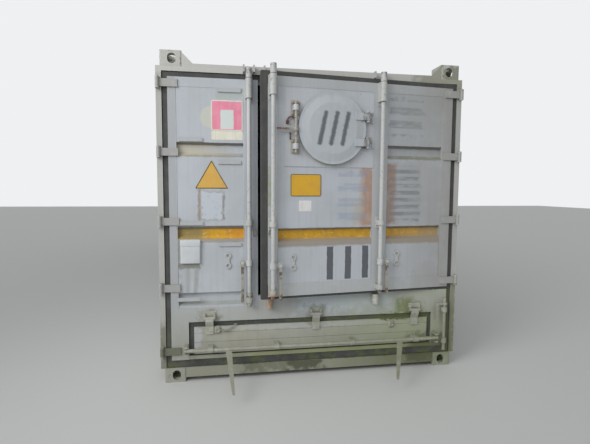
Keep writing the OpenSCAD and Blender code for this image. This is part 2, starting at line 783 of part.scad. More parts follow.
// Open jaws on the header that the rods' cams swing into
module keeper(gap, wall, out, h) for (side = [-1, 1])
    translate([side * (gap + wall / 2) - wall / 2, -out, 0]) cube([wall, out, h]);

module header_keepers() color(steel) in_frame() for (x = [rod_left_x, rod_middle_x, rod_right_x])
    translate([x, 0, header_z + jaw_inset])
        keeper(cam_r + jaw_gap, lug_t, -rod_y + rod_r, header_h - 2 * jaw_inset);

// A lock rod with its cam, its hub and the handle pin; side is 1 for a hub on the right
module lock_rod(z0, side) {
    bar_up(rod_r, z0, rod_top);
    bar_up(cam_r, leaf_top + seal_gap, rod_top);
    translate([0, 0, hub_z]) {
        bar_up(rod_r + guide_wall, -hub_r, hub_r);
        translate([0, handle_t / 2, 0]) rotate([90, 0, 0]) linear_extrude(handle_t) {
            translate([side * hub_reach, 0]) circle(r = hub_r);
            translate([side * hub_reach / 2, 0]) square([hub_reach, hub_r], center = true);
        }
        translate([side * hub_reach, 0, 0]) rotate([90, 0, 0])
            cylinder(r = pin_r, h = 1.5 * handle_t + 2 * play);
        translate([side * hub_reach, -1.5 * handle_t - 2 * play, 0]) rotate([90, 0, 0])
            cylinder(r = pin_r * 1.6, h = handle_t / 2);
    }
}

// A hanging handle on the hub pin, wider where the hand takes it
module lock_handle(l, side) translate([side * hub_reach, -handle_t / 2 - play, hub_z])
    rotate([90, 0, 0]) linear_extrude(handle_t) difference() {
        union() {
            circle(r = hub_r * 0.8);
            translate([0, hub_r / 2 - l]) circle(r = hub_r / 2);
            polygon([[-hub_r / 2, 0], [-hub_r / 3, -l / 2], [-hub_r / 2, hub_r / 2 - l],
                [hub_r / 2, hub_r / 2 - l], [hub_r / 3, -l / 2], [hub_r / 2, 0]]);
        }
        circle(r = pin_r + slack);
    }

module left_rod() color(paint) in_frame() translate([rod_left_x, rod_y, 0])
    lock_rod(left_sheet_z + rod_foot, -1);
module left_handle() color(steel) in_frame() translate([rod_left_x, rod_y, 0])
    lock_handle(left_handle_l, -1);
module middle_rod() color(paint) on_right_leaf() translate([rod_middle_x, rod_y, 0])
    lock_rod(right_leaf_z - rod_drop, 1);
module middle_handle() color(steel) on_right_leaf() translate([rod_middle_x, rod_y, 0])
    lock_handle(right_handle_l, 1);
module right_rod() color(paint) on_right_leaf() translate([rod_right_x, rod_y, 0])
    lock_rod(right_leaf_z - rod_drop, 1);
module right_handle() color(steel) on_right_leaf() translate([rod_right_x, rod_y, 0])
    lock_handle(right_handle_l, 1);

// Short rod at the end of the foot with its own fixed handle
module short_rod() color(steel) in_frame() translate([rod_short_x, rod_y, 0]) {
    bar_up(short_rod_r, leaf_z - guide_h / 2, left_sheet_z + guide_h / 2);
    bar_up(short_rod_r + guide_wall, left_sheet_z - guide_h, left_sheet_z - guide_h / 2);
    translate([0, 0, left_sheet_z - guide_h]) {
        slab(-hub_reach, 0, -handle_t / 2, handle_t / 2, 0, guide_h / 2);
        slab(-hub_reach - hub_r, -hub_reach, -handle_t / 2, handle_t / 2, -3 * guide_h, guide_h / 2);
    }
}

// Shallow channel that holds the edge of a plate, its back at y
module strip(x, y, z) {
    slab(x, x + strip_w, y - strip_d, y, z, z + lip_t);
    slab(x, x + strip_w, y - strip_d, y - strip_d + sheet_t, z, z + strip_h);
}

placard_low_z = [for (i = [0, 1]) left_rib_z[i] + rib_h + lip_t];
placard_foot_z = left_sheet_z + 2 * strip_h;
placard_top_z = concat([leaf_top - top_rail_h - strip_h], [for (i = [0, 1]) left_rib_z[i] - 2 * strip_h]);
module placard_strips() color(steel) in_frame() {
    for (z = placard_low_z) strip(left_stile_w - leaf_x1 + strip_inset, sheet_y, z);
    strip(left_stile_w - leaf_x1 - strip_lap, leaf_y, placard_foot_z);
    for (z = placard_top_z) strip(left_edge - inner_stile_w - strip_w - strip_inset, sheet_y, z);
}

module document_box() color([0.82, 0.82, 0.78]) in_frame()
    slab(box_x, box_x + box_w, sheet_y - box_d, sheet_y, box_z, box_z + box_h);

// Rod sockets and flap hinge brackets on the foot, and the jaws for the flap's lock bar
module foot_fittings() color(steel) in_frame() {
    for (x = [rod_middle_x, rod_right_x]) translate([x, rod_y, foot_top - 2 * guide_h - seal_gap * 2])
        guide(rod_r, rod_out, 2 * guide_h);
    for (i = [-1:1]) translate([i * flap_hinge_pitch, flap_axis_y, flap_hinge_z]) {
        for (side = [-1, 1]) translate([side * (flap_strap_w / 2 + play + lug_t / 2) - lug_t / 2, 0, 0])
            rotate([90, 0, 90]) linear_extrude(lug_t) {
                circle(r = knuckle_r);
                translate([0, -knuckle_r]) square([flap_hinge_out, knuckle_r * 4]);
            }
        rotate([0, 90, 0]) cylinder(r = pin_r, h = flap_strap_w + 2 * play + 2 * lug_t, center = true);
    }
    for (side = [-1, 1]) translate([side * (bar_half_l - lug_t), leaf_y, bar_z]) for (up = [-1, 1])
        translate([-lug_t, -bar_out - bar_r, up * (bar_r + bar_jaw_gap + lug_t / 2) - lug_t / 2])
        cube([2 * lug_t, bar_out + bar_r, lug_t]);
}

flap_x = flap_half_w - flap_seal_w;
flap_z0 = flap_bottom + flap_seal_low;
flap_z1 = flap_top - flap_seal_w;
// The flap: a sheet with a rim behind it
module flap_panel() color(paint) in_frame() difference() {
    slab(-flap_x, flap_x, leaf_y, leaf_y + flap_rim_d, flap_z0, flap_z1);
    slab(flap_t - flap_x, flap_x - flap_t, leaf_y + flap_t, leaf_back, flap_z0 + flap_t, flap_z1 - flap_t);
    for (z = [flap_z1 - flap_seam_drop, bar_z + guide_h])
        slab(-flap_x - over, flap_x + over, leaf_y - over, leaf_y + flap_seam, z, z + flap_seam);
}

module flap_seal() color(rubber) in_frame() difference() {
    out = flap_half_w - seal_gap;
    slab(-out, out, seal_y0, leaf_y + 3 * flap_rim_d / 4, flap_bottom + 2 * seal_gap,
        flap_top - seal_gap);
    slab(-flap_x, flap_x, leaf_y - over, leaf_back, flap_z0, flap_z1);
}

// Places of the lock bar's bearings, as shares of the opening's half width
bearing_shares = [-0.835, -0.325, 0.29, 0.835];
// Hinge straps and the bearings of the lock bar, all on the flap
module flap_fittings() color(steel) in_frame() {
    for (i = [-1:1]) translate([i * flap_hinge_pitch, flap_axis_y, flap_hinge_z])
        rotate([90, 0, 90]) linear_extrude(flap_strap_w, center = true) difference() {
            union() {
                circle(r = knuckle_r);
                polygon([[-knuckle_r, 0], [knuckle_r / 2, 0], [knuckle_r / 2, -knuckle_r * 2],
                    [flap_hinge_out, flap_z1 - flap_hinge_z],
                    [flap_hinge_out, flap_z1 - flap_hinge_z - strap_foot],
                    [flap_hinge_out - blade_t, flap_z1 - flap_hinge_z - strap_foot],
                    [flap_hinge_out - blade_t, flap_z1 - flap_hinge_z], [-knuckle_r, -knuckle_r * 2]]);
            }
            circle(r = pin_r + slack);
        }
    for (s = bearing_shares) translate([s * flap_half_w - guide_h / 2, bar_y, bar_z]) rotate([90, 0, 90])
        linear_extrude(guide_h) difference() {
            union() {
                circle(r = bar_r + slack + guide_wall);
                translate([0, -bar_r - guide_wall]) square([bar_out, 2 * (bar_r + guide_wall)]);
            }
            circle(r = bar_r + slack);
        }
}

// Tapered lever flat in its own plane, pointing along -Y from the bar
module lever() translate([0, 0, -lever_t / 2]) linear_extrude(lever_t) {
    polygon([[-lever_w / 2, 0], [lever_w / 2, 0], [lever_w / 2, -3 * bar_r],
        [lever_tip_w / 2, lever_tip_w / 2 - lever_l], [-lever_tip_w / 2, lever_tip_w / 2 - lever_l],
        [-lever_w / 2, -3 * bar_r]]);
    translate([0, lever_tip_w / 2 - lever_l]) circle(d = lever_tip_w);
}

module flap_lock_bar() color(paint) in_frame() translate([0, bar_y, bar_z]) {
    rotate([0, 90, 0]) cylinder(r = bar_r, h = 2 * bar_half_l, center = true);
    translate([-lever_x, 0, 0]) rotate([lever_dip, 0, 0]) rotate([0, 0, left_lever_bend]) lever();
    translate([lever_x, 0, 0]) rotate([lever_dip, 0, 0]) rotate([0, 0, -right_lever_bend]) lever();
}

// Frame of the wide right door with its intermediate stile
module right_leaf_frame() color(paint) on_right_leaf() {
    rail_low = right_leaf_z + bottom_rail_h;
    rail_high = leaf_top - top_rail_h;
    tube_x(right_edge, leaf_x1, leaf_y, leaf_back, right_leaf_z, rail_low, frame_wall);
    tube_x(right_edge, leaf_x1, leaf_y, leaf_back, rail_high, leaf_top, frame_wall);
    for (x = [[right_edge, right_edge + free_stile_w], [mid_stile_x0, mid_stile_x1],
        [leaf_x1 - hinge_stile_w, leaf_x1]])
        tube_z(x[0], x[1], leaf_y, leaf_back, rail_low, rail_high, frame_wall);
}

// Pressed sheets of the right door, the middle one with the round opening
module right_leaf_sheets() color(paint) on_right_leaf() {
    rail_low = right_leaf_z + bottom_rail_h;
    rail_high = leaf_top - top_rail_h;
    difference() {
        pressed_sheet(right_edge + free_stile_w, mid_stile_x0, rail_low, rail_high, middle_rib_z);
        translate([hatch_x, leaf_back, hatch_z]) rotate([90, 0, 0])
            cylinder(r = neck_r + slack, h = 2 * leaf_d);
    }
    pressed_sheet(mid_stile_x1, leaf_x1 - hinge_stile_w, rail_low, rail_high, right_rib_z);
}

// Stiffening plate, neck, cover hinge ears and lock bar clamps of the round hatch
module hatch_collar() color(paint) on_right_leaf() {
    difference() {
        union() {
            slab(collar_x0, collar_x1, sheet_y - neck_t, sheet_y, collar_z0, collar_z1);
            translate([hatch_x, leaf_back, hatch_z]) rotate([90, 0, 0])
                cylinder(r = neck_r, h = leaf_d + neck_out);
        }
        translate([hatch_x, leaf_back + over, hatch_z]) rotate([90, 0, 0])
            cylinder(r = neck_r - neck_t, h = 3 * leaf_d);
    }
    ear_web = sheet_y - neck_t - cover_axis_y;
    for (end = [-1, 1]) translate([cover_axis_x, cover_axis_y, hatch_z + end * cover_hinge_z]) {
        for (up = [-1, 1]) translate([0, 0, up * (blade_h / 2 + play + lug_t / 2) - lug_t / 2])
            linear_extrude(lug_t) ear_2d(knuckle_r, ear_web);
        bar_up(pin_r, -blade_h / 2 - play - lug_t, blade_h / 2 + play + lug_t);
    }
    for (end = [-1, 1])
        translate([hatch_bar_x, cover_axis_y, hatch_z - guide_h / 2 + end * hatch_bar_half * 0.75])
        guide(hatch_bar_r, ear_web, guide_h);
}

// Dished cover with a skirt and two hinge straps
module hatch_cover() color(paint) on_right_leaf() {
    face_y = leaf_y - neck_out - play;
    difference() {
        translate([hatch_x, face_y, hatch_z]) rotate([90, 0, 0]) union() {
            translate([0, 0, -skirt_d]) cylinder(r = cover_r, h = skirt_d + cover_t);
            translate([0, 0, cover_t])
                cylinder(r1 = cover_r - crown_in, r2 = cover_r - crown_in - crown_slope, h = cover_rise);
        }
        translate([hatch_x, face_y + skirt_d + over, hatch_z]) rotate([90, 0, 0])
            cylinder(r = cover_r - cover_t, h = skirt_d + over);
    }
    for (end = [-1, 1]) translate([cover_axis_x, cover_axis_y, hatch_z + end * cover_hinge_z - blade_h / 2])
        linear_extrude(blade_h) difference() {
            union() {
                circle(r = knuckle_r);
                translate([-cover_r * 0.42, -knuckle_r]) square([cover_r * 0.42, handle_t]);
            }
            circle(r = pin_r + slack);
        }
}

module hatch_lock_bar() color(rust) on_right_leaf() translate([hatch_bar_x, cover_axis_y, hatch_z]) {
    bar_up(hatch_bar_r, -hatch_bar_half, hatch_bar_half);
    bar_up(hatch_bar_r + guide_wall, -hatch_hub_h, 0);
    slab(-hatch_lever_l, 0, -handle_t / 2, handle_t / 2, -3 * hatch_hub_h / 4, -hatch_hub_h / 4);
}

bottom_castings();
top_castings();
door_posts();
front_posts();
door_header();
door_sill();
stop_lips();
front_rails();
side_rails();
cross_members();
side_walls();
front_wall();
roof_panel();
roof_hatches();
floor();
hinge_lugs();
header_keepers();
left_leaf_upright();
foot_top_beam();
foot_bottom_beam();
foot_end_stiles();
left_leaf_hinges();
left_leaf_seal();
left_rod_guides();
placard_strips();
document_box();
foot_fittings();
left_rod();
left_handle();
short_rod();
flap_panel();
flap_seal();
flap_fittings();
flap_lock_bar();
right_leaf_frame();
right_leaf_sheets();
right_leaf_seal();
right_leaf_hinges();
right_rod_guides();
hatch_collar();
middle_rod();
middle_handle();
right_rod();
right_handle();
hatch_cover();
hatch_lock_bar();
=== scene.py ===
# %% [markdown]
# # A dry bulk container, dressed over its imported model
# The CAD nodes give every form that has a real size. This script lights them, gives each one
# the finish that the real steel has after years outdoors, and adds what is too small for CAD:
# plates, bolts, rings, a chain, sealing beads and moss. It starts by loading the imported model.

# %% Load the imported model
import math
import random

import bmesh
import bpy
from mathutils import Matrix, Vector
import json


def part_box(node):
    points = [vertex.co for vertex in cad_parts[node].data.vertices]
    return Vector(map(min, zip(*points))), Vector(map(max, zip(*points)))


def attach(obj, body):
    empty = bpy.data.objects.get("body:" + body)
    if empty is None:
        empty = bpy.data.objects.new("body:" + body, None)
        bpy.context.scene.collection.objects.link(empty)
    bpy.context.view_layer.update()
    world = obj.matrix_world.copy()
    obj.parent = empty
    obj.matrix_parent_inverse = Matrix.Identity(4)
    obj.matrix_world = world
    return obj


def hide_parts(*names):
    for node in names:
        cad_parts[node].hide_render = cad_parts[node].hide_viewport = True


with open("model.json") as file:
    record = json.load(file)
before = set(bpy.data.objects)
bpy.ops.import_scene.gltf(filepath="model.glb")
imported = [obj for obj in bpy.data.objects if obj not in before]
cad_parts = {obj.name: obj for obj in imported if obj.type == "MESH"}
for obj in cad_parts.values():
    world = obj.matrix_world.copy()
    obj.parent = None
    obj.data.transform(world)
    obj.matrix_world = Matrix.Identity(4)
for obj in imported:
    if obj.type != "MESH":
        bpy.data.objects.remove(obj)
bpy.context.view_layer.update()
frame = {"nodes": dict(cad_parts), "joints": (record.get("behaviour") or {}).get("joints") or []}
nodes = frame["nodes"]
joints = {joint["name"]: joint for joint in frame["joints"]}
mm = 0.001

# %% [markdown]
# The doors are measured from their own face, so the places below are in millimetres from the
# middle of the door end: x to the right, y into the container, z up from the ground. The right
# leaf stands ajar, so a piece on it is made for the closed leaf and then turned about its hinge.

# %% Places on the door end
door_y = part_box("door_posts")[0].y
leaf_face = -5
right_axis = Vector(joints["right_leaf_hinge"]["pos_m"])
ajar = math.radians(-joints["right_leaf_hinge"]["range_deg"][0])
turn_right_leaf = (Matrix.Translation(right_axis) @ Matrix.Rotation(ajar, 4, "Z")
                   @ Matrix.Translation(-right_axis))


def at(x, y, z):
    return Vector((x * mm, door_y + y * mm, z * mm))


print("door face at y", round(door_y, 4), "right leaf open by", round(math.degrees(ajar), 1))

# %% [markdown]
# The camera stands as the photo shows the doors: a little left of the middle, at eye height,
# turned right and slightly down. The lens was fitted to the corner castings, whose size is known.

# %% Camera
camera_place = Vector((-0.730, door_y - 3.393, 1.550))
camera_yaw, camera_pitch, camera_roll = 0.161, -0.078, -0.005
lens_mm, sensor_mm = 25.85, 36.0

bpy.ops.object.camera_add(location=camera_place,
                          rotation=(math.pi / 2 + camera_pitch, camera_roll, -camera_yaw))
camera = bpy.context.object
camera.data.lens = lens_mm
camera.data.sensor_width = sensor_mm
bpy.context.scene.camera = camera
bpy.context.scene.view_settings.view_transform = "Standard"
print("camera", round(door_y - camera_place.y, 3), "m in front of the doors")

# %% [markdown]
# An overcast sky lights the real scene evenly, brightest from above and a little from the left.
# A grey world does most of that, and one large soft sun from above the camera adds the gentle
# shadows under ledges and rods. A wide lamp on the left stands for the open sky there, because
# the right side lies in shade. The camera sees the world as near white.

# %% Light and floor
sky_strength, seen_sky_strength = 0.42, 0.93
sun_strength, sun_spread = 0.78, math.radians(70)
sun_turn = [math.radians(angle) for angle in (46, -16, -14)]
open_sky_watts, open_sky_size, open_sky_spread = 33, 3.0, math.radians(75)
floor_size = 60.0


def srgb(code):
    """A colour code as the linear red, green, blue and alpha that a shader takes."""
    parts = [int(code[i:i + 2], 16) / 255 for i in (1, 3, 5)]
    return tuple(p / 12.92 if p <= 0.04045 else ((p + 0.055) / 1.055) ** 2.4 for p in parts) + (1.0,)


def add(tree, kind, links=None, **settings):
    """Adds one node, sets it up and joins or fills its inputs."""
    made = tree.nodes.new(kind)
    for key, value in settings.items():
        setattr(made, key, value)
    for key, value in (links or {}).items():
        if isinstance(value, bpy.types.NodeSocket):
            tree.links.new(value, made.inputs[key])
        else:
            made.inputs[key].default_value = value
    return made


world = bpy.data.worlds.new("overcast")
bpy.context.scene.world = world
world.use_nodes = True
sky = world.node_tree
sky.nodes.clear()
ray = add(sky, "ShaderNodeLightPath")
seen = add(sky, "ShaderNodeMath",
           {0: ray.outputs["Is Camera Ray"], 1: ray.outputs["Is Glossy Ray"]}, operation="MAXIMUM")
seen = add(sky, "ShaderNodeMath",
           {0: seen.outputs[0], 1: ray.outputs["Is Transmission Ray"]}, operation="MAXIMUM")
level = add(sky, "ShaderNodeMapRange",
            {"Value": seen.outputs[0], "To Min": sky_strength, "To Max": seen_sky_strength})
air = add(sky, "ShaderNodeBackground", {"Color": srgb("#F6F8FA"), "Strength": level.outputs[0]})
add(sky, "ShaderNodeOutputWorld", {"Surface": air.outputs[0]})

bpy.ops.object.light_add(type="SUN", rotation=sun_turn)
sun = bpy.context.object.data
sun.energy = sun_strength
sun.angle = sun_spread

open_sky_place = at(-4200, -3000, 3900)
to_door = at(-300, 0, 1300) - open_sky_place
bpy.ops.object.light_add(type="AREA", location=open_sky_place,
                         rotation=to_door.to_track_quat("-Z", "Y").to_euler())
open_sky = bpy.context.object.data
open_sky.energy = open_sky_watts
open_sky.size = open_sky_size
open_sky.spread = open_sky_spread

bpy.ops.object.select_all(action="DESELECT")
bpy.ops.mesh.primitive_plane_add(size=floor_size)
ground = bpy.context.object
ground.name = "studio_floor"
floor_finish = bpy.data.materials.new("matt studio floor")
floor_finish.use_nodes = True
floor_shader = floor_finish.node_tree.nodes["Principled BSDF"]
floor_shader.inputs["Base Color"].default_value = srgb("#C9CAC8")
floor_shader.inputs["Roughness"].default_value = 0.9
ground.data.materials.append(floor_finish)
print("camera, sky, sun and floor are set")

# %% [markdown]
# New pieces are modelled as by hand: a primitive at its size and place, shaped in edit mode and
# finished with its own faces. Small helpers keep each piece short. The first adds a primitive with
# nothing else selected, because loading leaves the CAD nodes selected. The next ones select, round
# and stretch in edit mode, and the last fixes a piece in its place and hands it to the frame.

# %% Helpers for modelling
upright = (math.radians(90), 0, 0)


def start(kind, place, **settings):
    """Adds one primitive with nothing else selected."""
    bpy.ops.object.select_all(action="DESELECT")
    getattr(bpy.ops.mesh, kind)(location=place, **settings)
    return bpy.context.object


def block(x0, x1, y0, y1, z0, z1):
    """A cube with its size in its mesh, between two corners in millimetres."""
    made = start("primitive_cube_add", at((x0 + x1) / 2, (y0 + y1) / 2, (z0 + z1) / 2), size=1)
    made.scale = ((x1 - x0) * mm, (y1 - y0) * mm, (z1 - z0) * mm)
    bpy.ops.object.transform_apply(location=False, rotation=False, scale=True)
    return made


def pick(piece, kind, test):
    """In edit mode, selects only the faces or edges that pass the test."""
    bpy.ops.mesh.select_mode(type=kind)
    bpy.ops.mesh.select_all(action="DESELECT")
    shape = bmesh.from_edit_mesh(piece.data)
    for part in (shape.faces if kind == "FACE" else shape.edges):
        if test(part):
            part.select_set(True)
    bmesh.update_edit_mesh(piece.data)


def round_corners(piece, radius, segments=4):
    """In edit mode, rounds the edges that run straight into the door."""
    pick(piece, "EDGE", lambda e: abs((e.verts[0].co - e.verts[1].co).normalized().y) > 0.9)
    bpy.ops.mesh.bevel(offset=radius * mm, segments=segments)


def rounded_block(x0, x1, y0, y1, z0, z1, radius):
    """A block whose edges that run straight into the door are rounded."""
    made = block(x0, x1, y0, y1, z0, z1)
    bpy.ops.object.mode_set(mode="EDIT")
    round_corners(made, radius, segments=3)
    bpy.ops.object.mode_set(mode="OBJECT")
    return made


def bevel_all(width):
    """Bevels every edge of the piece just made."""
    bpy.ops.object.mode_set(mode="EDIT")
    bpy.ops.mesh.select_all(action="SELECT")
    bpy.ops.mesh.bevel(offset=width * mm, segments=2)
    bpy.ops.object.mode_set(mode="OBJECT")


def stretch(factors):
    """Stretches the mesh of the piece just made."""
    bpy.ops.object.mode_set(mode="EDIT")
    bpy.ops.mesh.select_all(action="SELECT")
    bpy.ops.transform.resize(value=factors)
    bpy.ops.object.mode_set(mode="OBJECT")


def twin(piece):
    """A copy with its own mesh."""
    made = piece.copy()
    made.data = piece.data.copy()
    bpy.context.collection.objects.link(made)
    return made


def join(parts):
    """Makes one object of the parts and leaves it selected."""
    bpy.ops.object.select_all(action="DESELECT")
    for part in parts:
        part.select_set(True)
    bpy.context.view_layer.objects.active = parts[0]
    if len(parts) > 1:
        bpy.ops.object.join()
    return parts[0]


def settle(parts, name, finish, body, on_right_leaf=False):
    """Joins the parts, fixes their place in the mesh and hands the piece to the frame."""
    bpy.context.view_layer.update()
    piece = join(parts)
    bpy.ops.object.transform_apply(location=True, rotation=True, scale=True)
    if on_right_leaf:
        piece.matrix_world = turn_right_leaf
        bpy.ops.object.transform_apply(location=True, rotation=True, scale=True)
    piece.name = piece.data.name = name
    if finish:
        piece.data.materials.clear()
        piece.data.materials.append(finish)
    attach(piece, body)
    print(name, "with", len(piece.data.polygons), "faces rides on", body)
    return piece


print("helpers are ready")

# %% [markdown]
# Every finish below is built like the real one, coat by coat. It starts with a colour, a gloss
# and a height, and each coat lays its own colour, gloss and height over them where its mask says.
# Masks come from noise with a real grain size, from windows and discs on the door end, from the
# height above the ground, or from how far a face looks up, because dirt settles on ledges and
# algae grows low down. The first function after the class lays the coats that all enamel shares.

# %% Coats and masks
class Finish:
    """One finish while it is being built: its tree, its place and its top coat."""

    def __init__(self, name, colour, gloss):
        self.material = bpy.data.materials.new(name)
        self.material.use_nodes = True
        self.tree = self.material.node_tree
        self.tree.nodes.clear()
        spots = add(self.tree, "ShaderNodeTexCoord")
        self.place, self.facing = spots.outputs["Object"], spots.outputs["Normal"]
        self.colour, self.rough, self.height = srgb(colour), gloss, 0.0

    def math(self, how, a, b=0.0):
        return add(self.tree, "ShaderNodeMath", {0: a, 1: b}, operation=how).outputs[0]

    def clouds(self, grain, low, high, stretch=(1, 1, 1), detail=4):
        """Ragged patches: 0 where the noise is under low, 1 where it is over high."""
        spot = add(self.tree, "ShaderNodeMapping", {"Vector": self.place, "Scale": stretch})
        noise = add(self.tree, "ShaderNodeTexNoise",
                    {"Vector": spot.outputs[0], "Scale": 1 / (grain * mm), "Detail": detail,
                     "Roughness": 0.6})
        return self.ramp(noise.outputs["Fac"], low, high)

    def broken(self, mask, *grain, **shape):
        """A mask broken up by ragged patches, with their grain, low and high."""
        return self.math("MULTIPLY", mask, self.clouds(*grain, **shape))

    def ramp(self, value, low, high):
        """A soft step from 0 where the value is low to 1 where it is high."""
        return add(self.tree, "ShaderNodeMapRange", {"Value": value, "From Min": low, "From Max": high},
                   interpolation_type="SMOOTHSTEP").outputs[0]

    def axis(self, which):
        """One coordinate of the place, in metres."""
        return add(self.tree, "ShaderNodeSeparateXYZ", {0: self.place}).outputs[which]

    def looks(self, which):
        """How far a face looks along one axis, from -1 to 1."""
        return add(self.tree, "ShaderNodeSeparateXYZ", {0: self.facing}).outputs[which]

    def facing_up(self):
        return self.ramp(self.looks("Z"), 0.3, 0.9)

    def outside(self):
        """1 on faces that look out of the door end, so that paint marks stay off the inner faces."""
        return self.ramp(self.looks("Y"), 0.0, -0.12)

    def window(self, x0, x1, z0, z1, soft=12, ragged=20, all_round=False):
        """1 inside a rectangle of the door end, with soft and ragged edges, all in millimetres."""
        middle = Vector(((x0 + x1) / 2 * mm, 0, (z0 + z1) / 2 * mm))
        half = Vector(((x1 - x0) / 2 * mm, 0, (z1 - z0) / 2 * mm))
        off = add(self.tree, "ShaderNodeVectorMath", {0: self.place, 1: middle}, operation="SUBTRACT")
        off = add(self.tree, "ShaderNodeVectorMath", {0: off.outputs[0]}, operation="ABSOLUTE")
        off = add(self.tree, "ShaderNodeVectorMath", {0: off.outputs[0], 1: half}, operation="SUBTRACT")
        parts = add(self.tree, "ShaderNodeSeparateXYZ", {0: off.outputs[0]})
        edge = self.math("MAXIMUM", parts.outputs["X"], parts.outputs["Z"])
        fray = self.clouds(60, 0.3, 0.7, detail=6)
        edge = self.math("ADD", edge, self.math("MULTIPLY", fray, ragged * mm))
        inside = self.ramp(edge, soft * mm, 0.0)
        return inside if all_round else self.math("MULTIPLY", inside, self.outside())

    def disc(self, x, z, r, soft=6, ragged=4):
        """1 inside a circle on the door end, with a soft and ragged edge, all in millimetres."""
        flat = add(self.tree, "ShaderNodeVectorMath", {0: self.place, 1: (1, 0, 1)}, operation="MULTIPLY")
        middle = Vector((x * mm, 0, z * mm))
        gap = add(self.tree, "ShaderNodeVectorMath", {0: flat.outputs[0], 1: middle},
                  operation="DISTANCE").outputs["Value"]
        fray = self.clouds(30, 0.3, 0.7, detail=5)
        gap = self.math("ADD", gap, self.math("MULTIPLY", fray, ragged * mm))
        return self.math("MULTIPLY", self.ramp(gap, (r + soft) * mm, (r - soft) * mm), self.outside())

    def coat(self, mask, colour, rough=None, rise=0.0, strength=1.0):
        """Lays one more coat over the finish where the mask is."""
        if strength != 1.0:
            mask = self.math("MULTIPLY", mask, strength)
        self.colour = add(self.tree, "ShaderNodeMix", {0: mask, 6: self.colour, 7: srgb(colour)},
                          data_type="RGBA").outputs[2]
        if rough is not None:
            self.rough = add(self.tree, "ShaderNodeMix", {0: mask, 2: self.rough, 3: rough},
                             data_type="FLOAT").outputs[0]
        if rise:
            self.height = self.math("ADD", self.height, self.math("MULTIPLY", mask, rise * mm))

    def done(self):
        """Joins colour, gloss and height to the shader and gives the finished material."""
        shader = add(self.tree, "ShaderNodeBsdfPrincipled",
                     {"Base Color": self.colour, "Roughness": self.rough, "Metallic": 0.0})
        if isinstance(self.height, bpy.types.NodeSocket):
            relief = add(self.tree, "ShaderNodeBump",
                         {"Height": self.height, "Strength": 1.0, "Distance": 1.0})
            self.tree.links.new(relief.outputs[0], shader.inputs["Normal"])
        add(self.tree, "ShaderNodeOutputMaterial", {"Surface": shader.outputs[0]})
        print(self.material.name, "has", len(self.tree.nodes), "shader nodes")
        return self.material


def weather(finish, algae=1.0, rust=1.0, dirt=1.0):
    """Years outdoors: chalking, run-off streaks, grime low down, algae on ledges and rust."""
    up, x, z = finish.facing_up(), finish.axis("X"), finish.axis("Z")
    shade = finish.math("ADD", finish.math("MULTIPLY", finish.ramp(x, -0.6, 1.1), 0.75), 0.25)
    finish.coat(finish.clouds(420, 0.38, 0.68, detail=3), "#A3A7A9", strength=0.32)
    finish.coat(finish.clouds(90, 0.52, 0.74, detail=6), "#C9CDCF", rough=0.62, strength=0.26)
    streaks = finish.clouds(24, 0.44, 0.76, stretch=(1, 1, 0.03))
    finish.coat(streaks, "#8D908A", rough=0.7, strength=0.15 * dirt)
    grime = finish.broken(finish.ramp(z, 0.80, 0.10), 240, 0.18, 0.66, detail=5)
    finish.coat(grime, "#97968A", rough=0.8, strength=0.60 * dirt)
    green = finish.broken(finish.ramp(z, 0.75, 0.10), 330, 0.22, 0.62)
    green = finish.math("MULTIPLY", green, shade)
    finish.coat(green, "#82896A", rough=0.88, strength=0.62 * algae)
    finish.coat(up, "#85867A", rough=0.9, strength=0.55 * dirt)
    moss = finish.broken(finish.math("MULTIPLY", up, shade), 80, 0.30, 0.60, detail=6)
    finish.coat(moss, "#6C7350", rough=0.95, rise=0.6, strength=0.80 * algae)
    specks = finish.broken(finish.ramp(z, 0.60, 0.12), 45, 0.60, 0.72, detail=7)
    specks = finish.math("MULTIPLY", specks, shade)
    finish.coat(specks, "#5F6B39", rough=0.95, rise=0.5, strength=0.70 * algae)
    pits = finish.clouds(34, 0.70, 0.75, detail=7)
    finish.coat(pits, "#6A5342", rough=0.9, rise=-0.25, strength=0.55 * rust)
    finish.coat(finish.clouds(9, 0.66, 0.74, detail=3), "#6E6A60", rough=0.8, strength=0.30 * dirt)


def dents(finish, depth=1.6):
    """Thin sheet is never flat: it waves between its stiles."""
    wave = finish.clouds(480, 0.2, 0.8, detail=1)
    finish.height = finish.math("ADD", finish.height, finish.math("MULTIPLY", wave, depth * mm))


def patches(finish, rows):
    """Coats in windows, one a row: x0, x1, z0, z1, soft, ragged, colour, gloss, strength."""
    for x0, x1, z0, z1, soft, ragged, colour, rough, strength in rows:
        finish.coat(finish.window(x0, x1, z0, z1, soft, ragged), colour, rough, strength=strength)


print("coats and masks are ready")

# %% [markdown]
# The leaves and walls are thin steel sheet, sprayed with pale grey-blue enamel that has gone
# chalky. The sheet is slightly dented, and streaks run down it. Three marks come back on several
# sheets: a yellow band sprayed along the recesses at chest height, rows of paint rubbed down to a
# smear, and painted shade: a duller tone over the right side, which lies in shade.

# %% Panel enamel and its marks
band_low, band_high = 1155, 1232
band_yellow, band_worn = "#D29F22", "#B08A3C"


def panel_enamel(name, colour="#BCC1C8", algae=1.0, rust=1.0, dirt=1.0):
    """Enamel on thin sheet, weathered and slightly dented."""
    finish = Finish(name, colour, 0.5)
    weather(finish, algae, rust, dirt)
    dents(finish)
    return finish


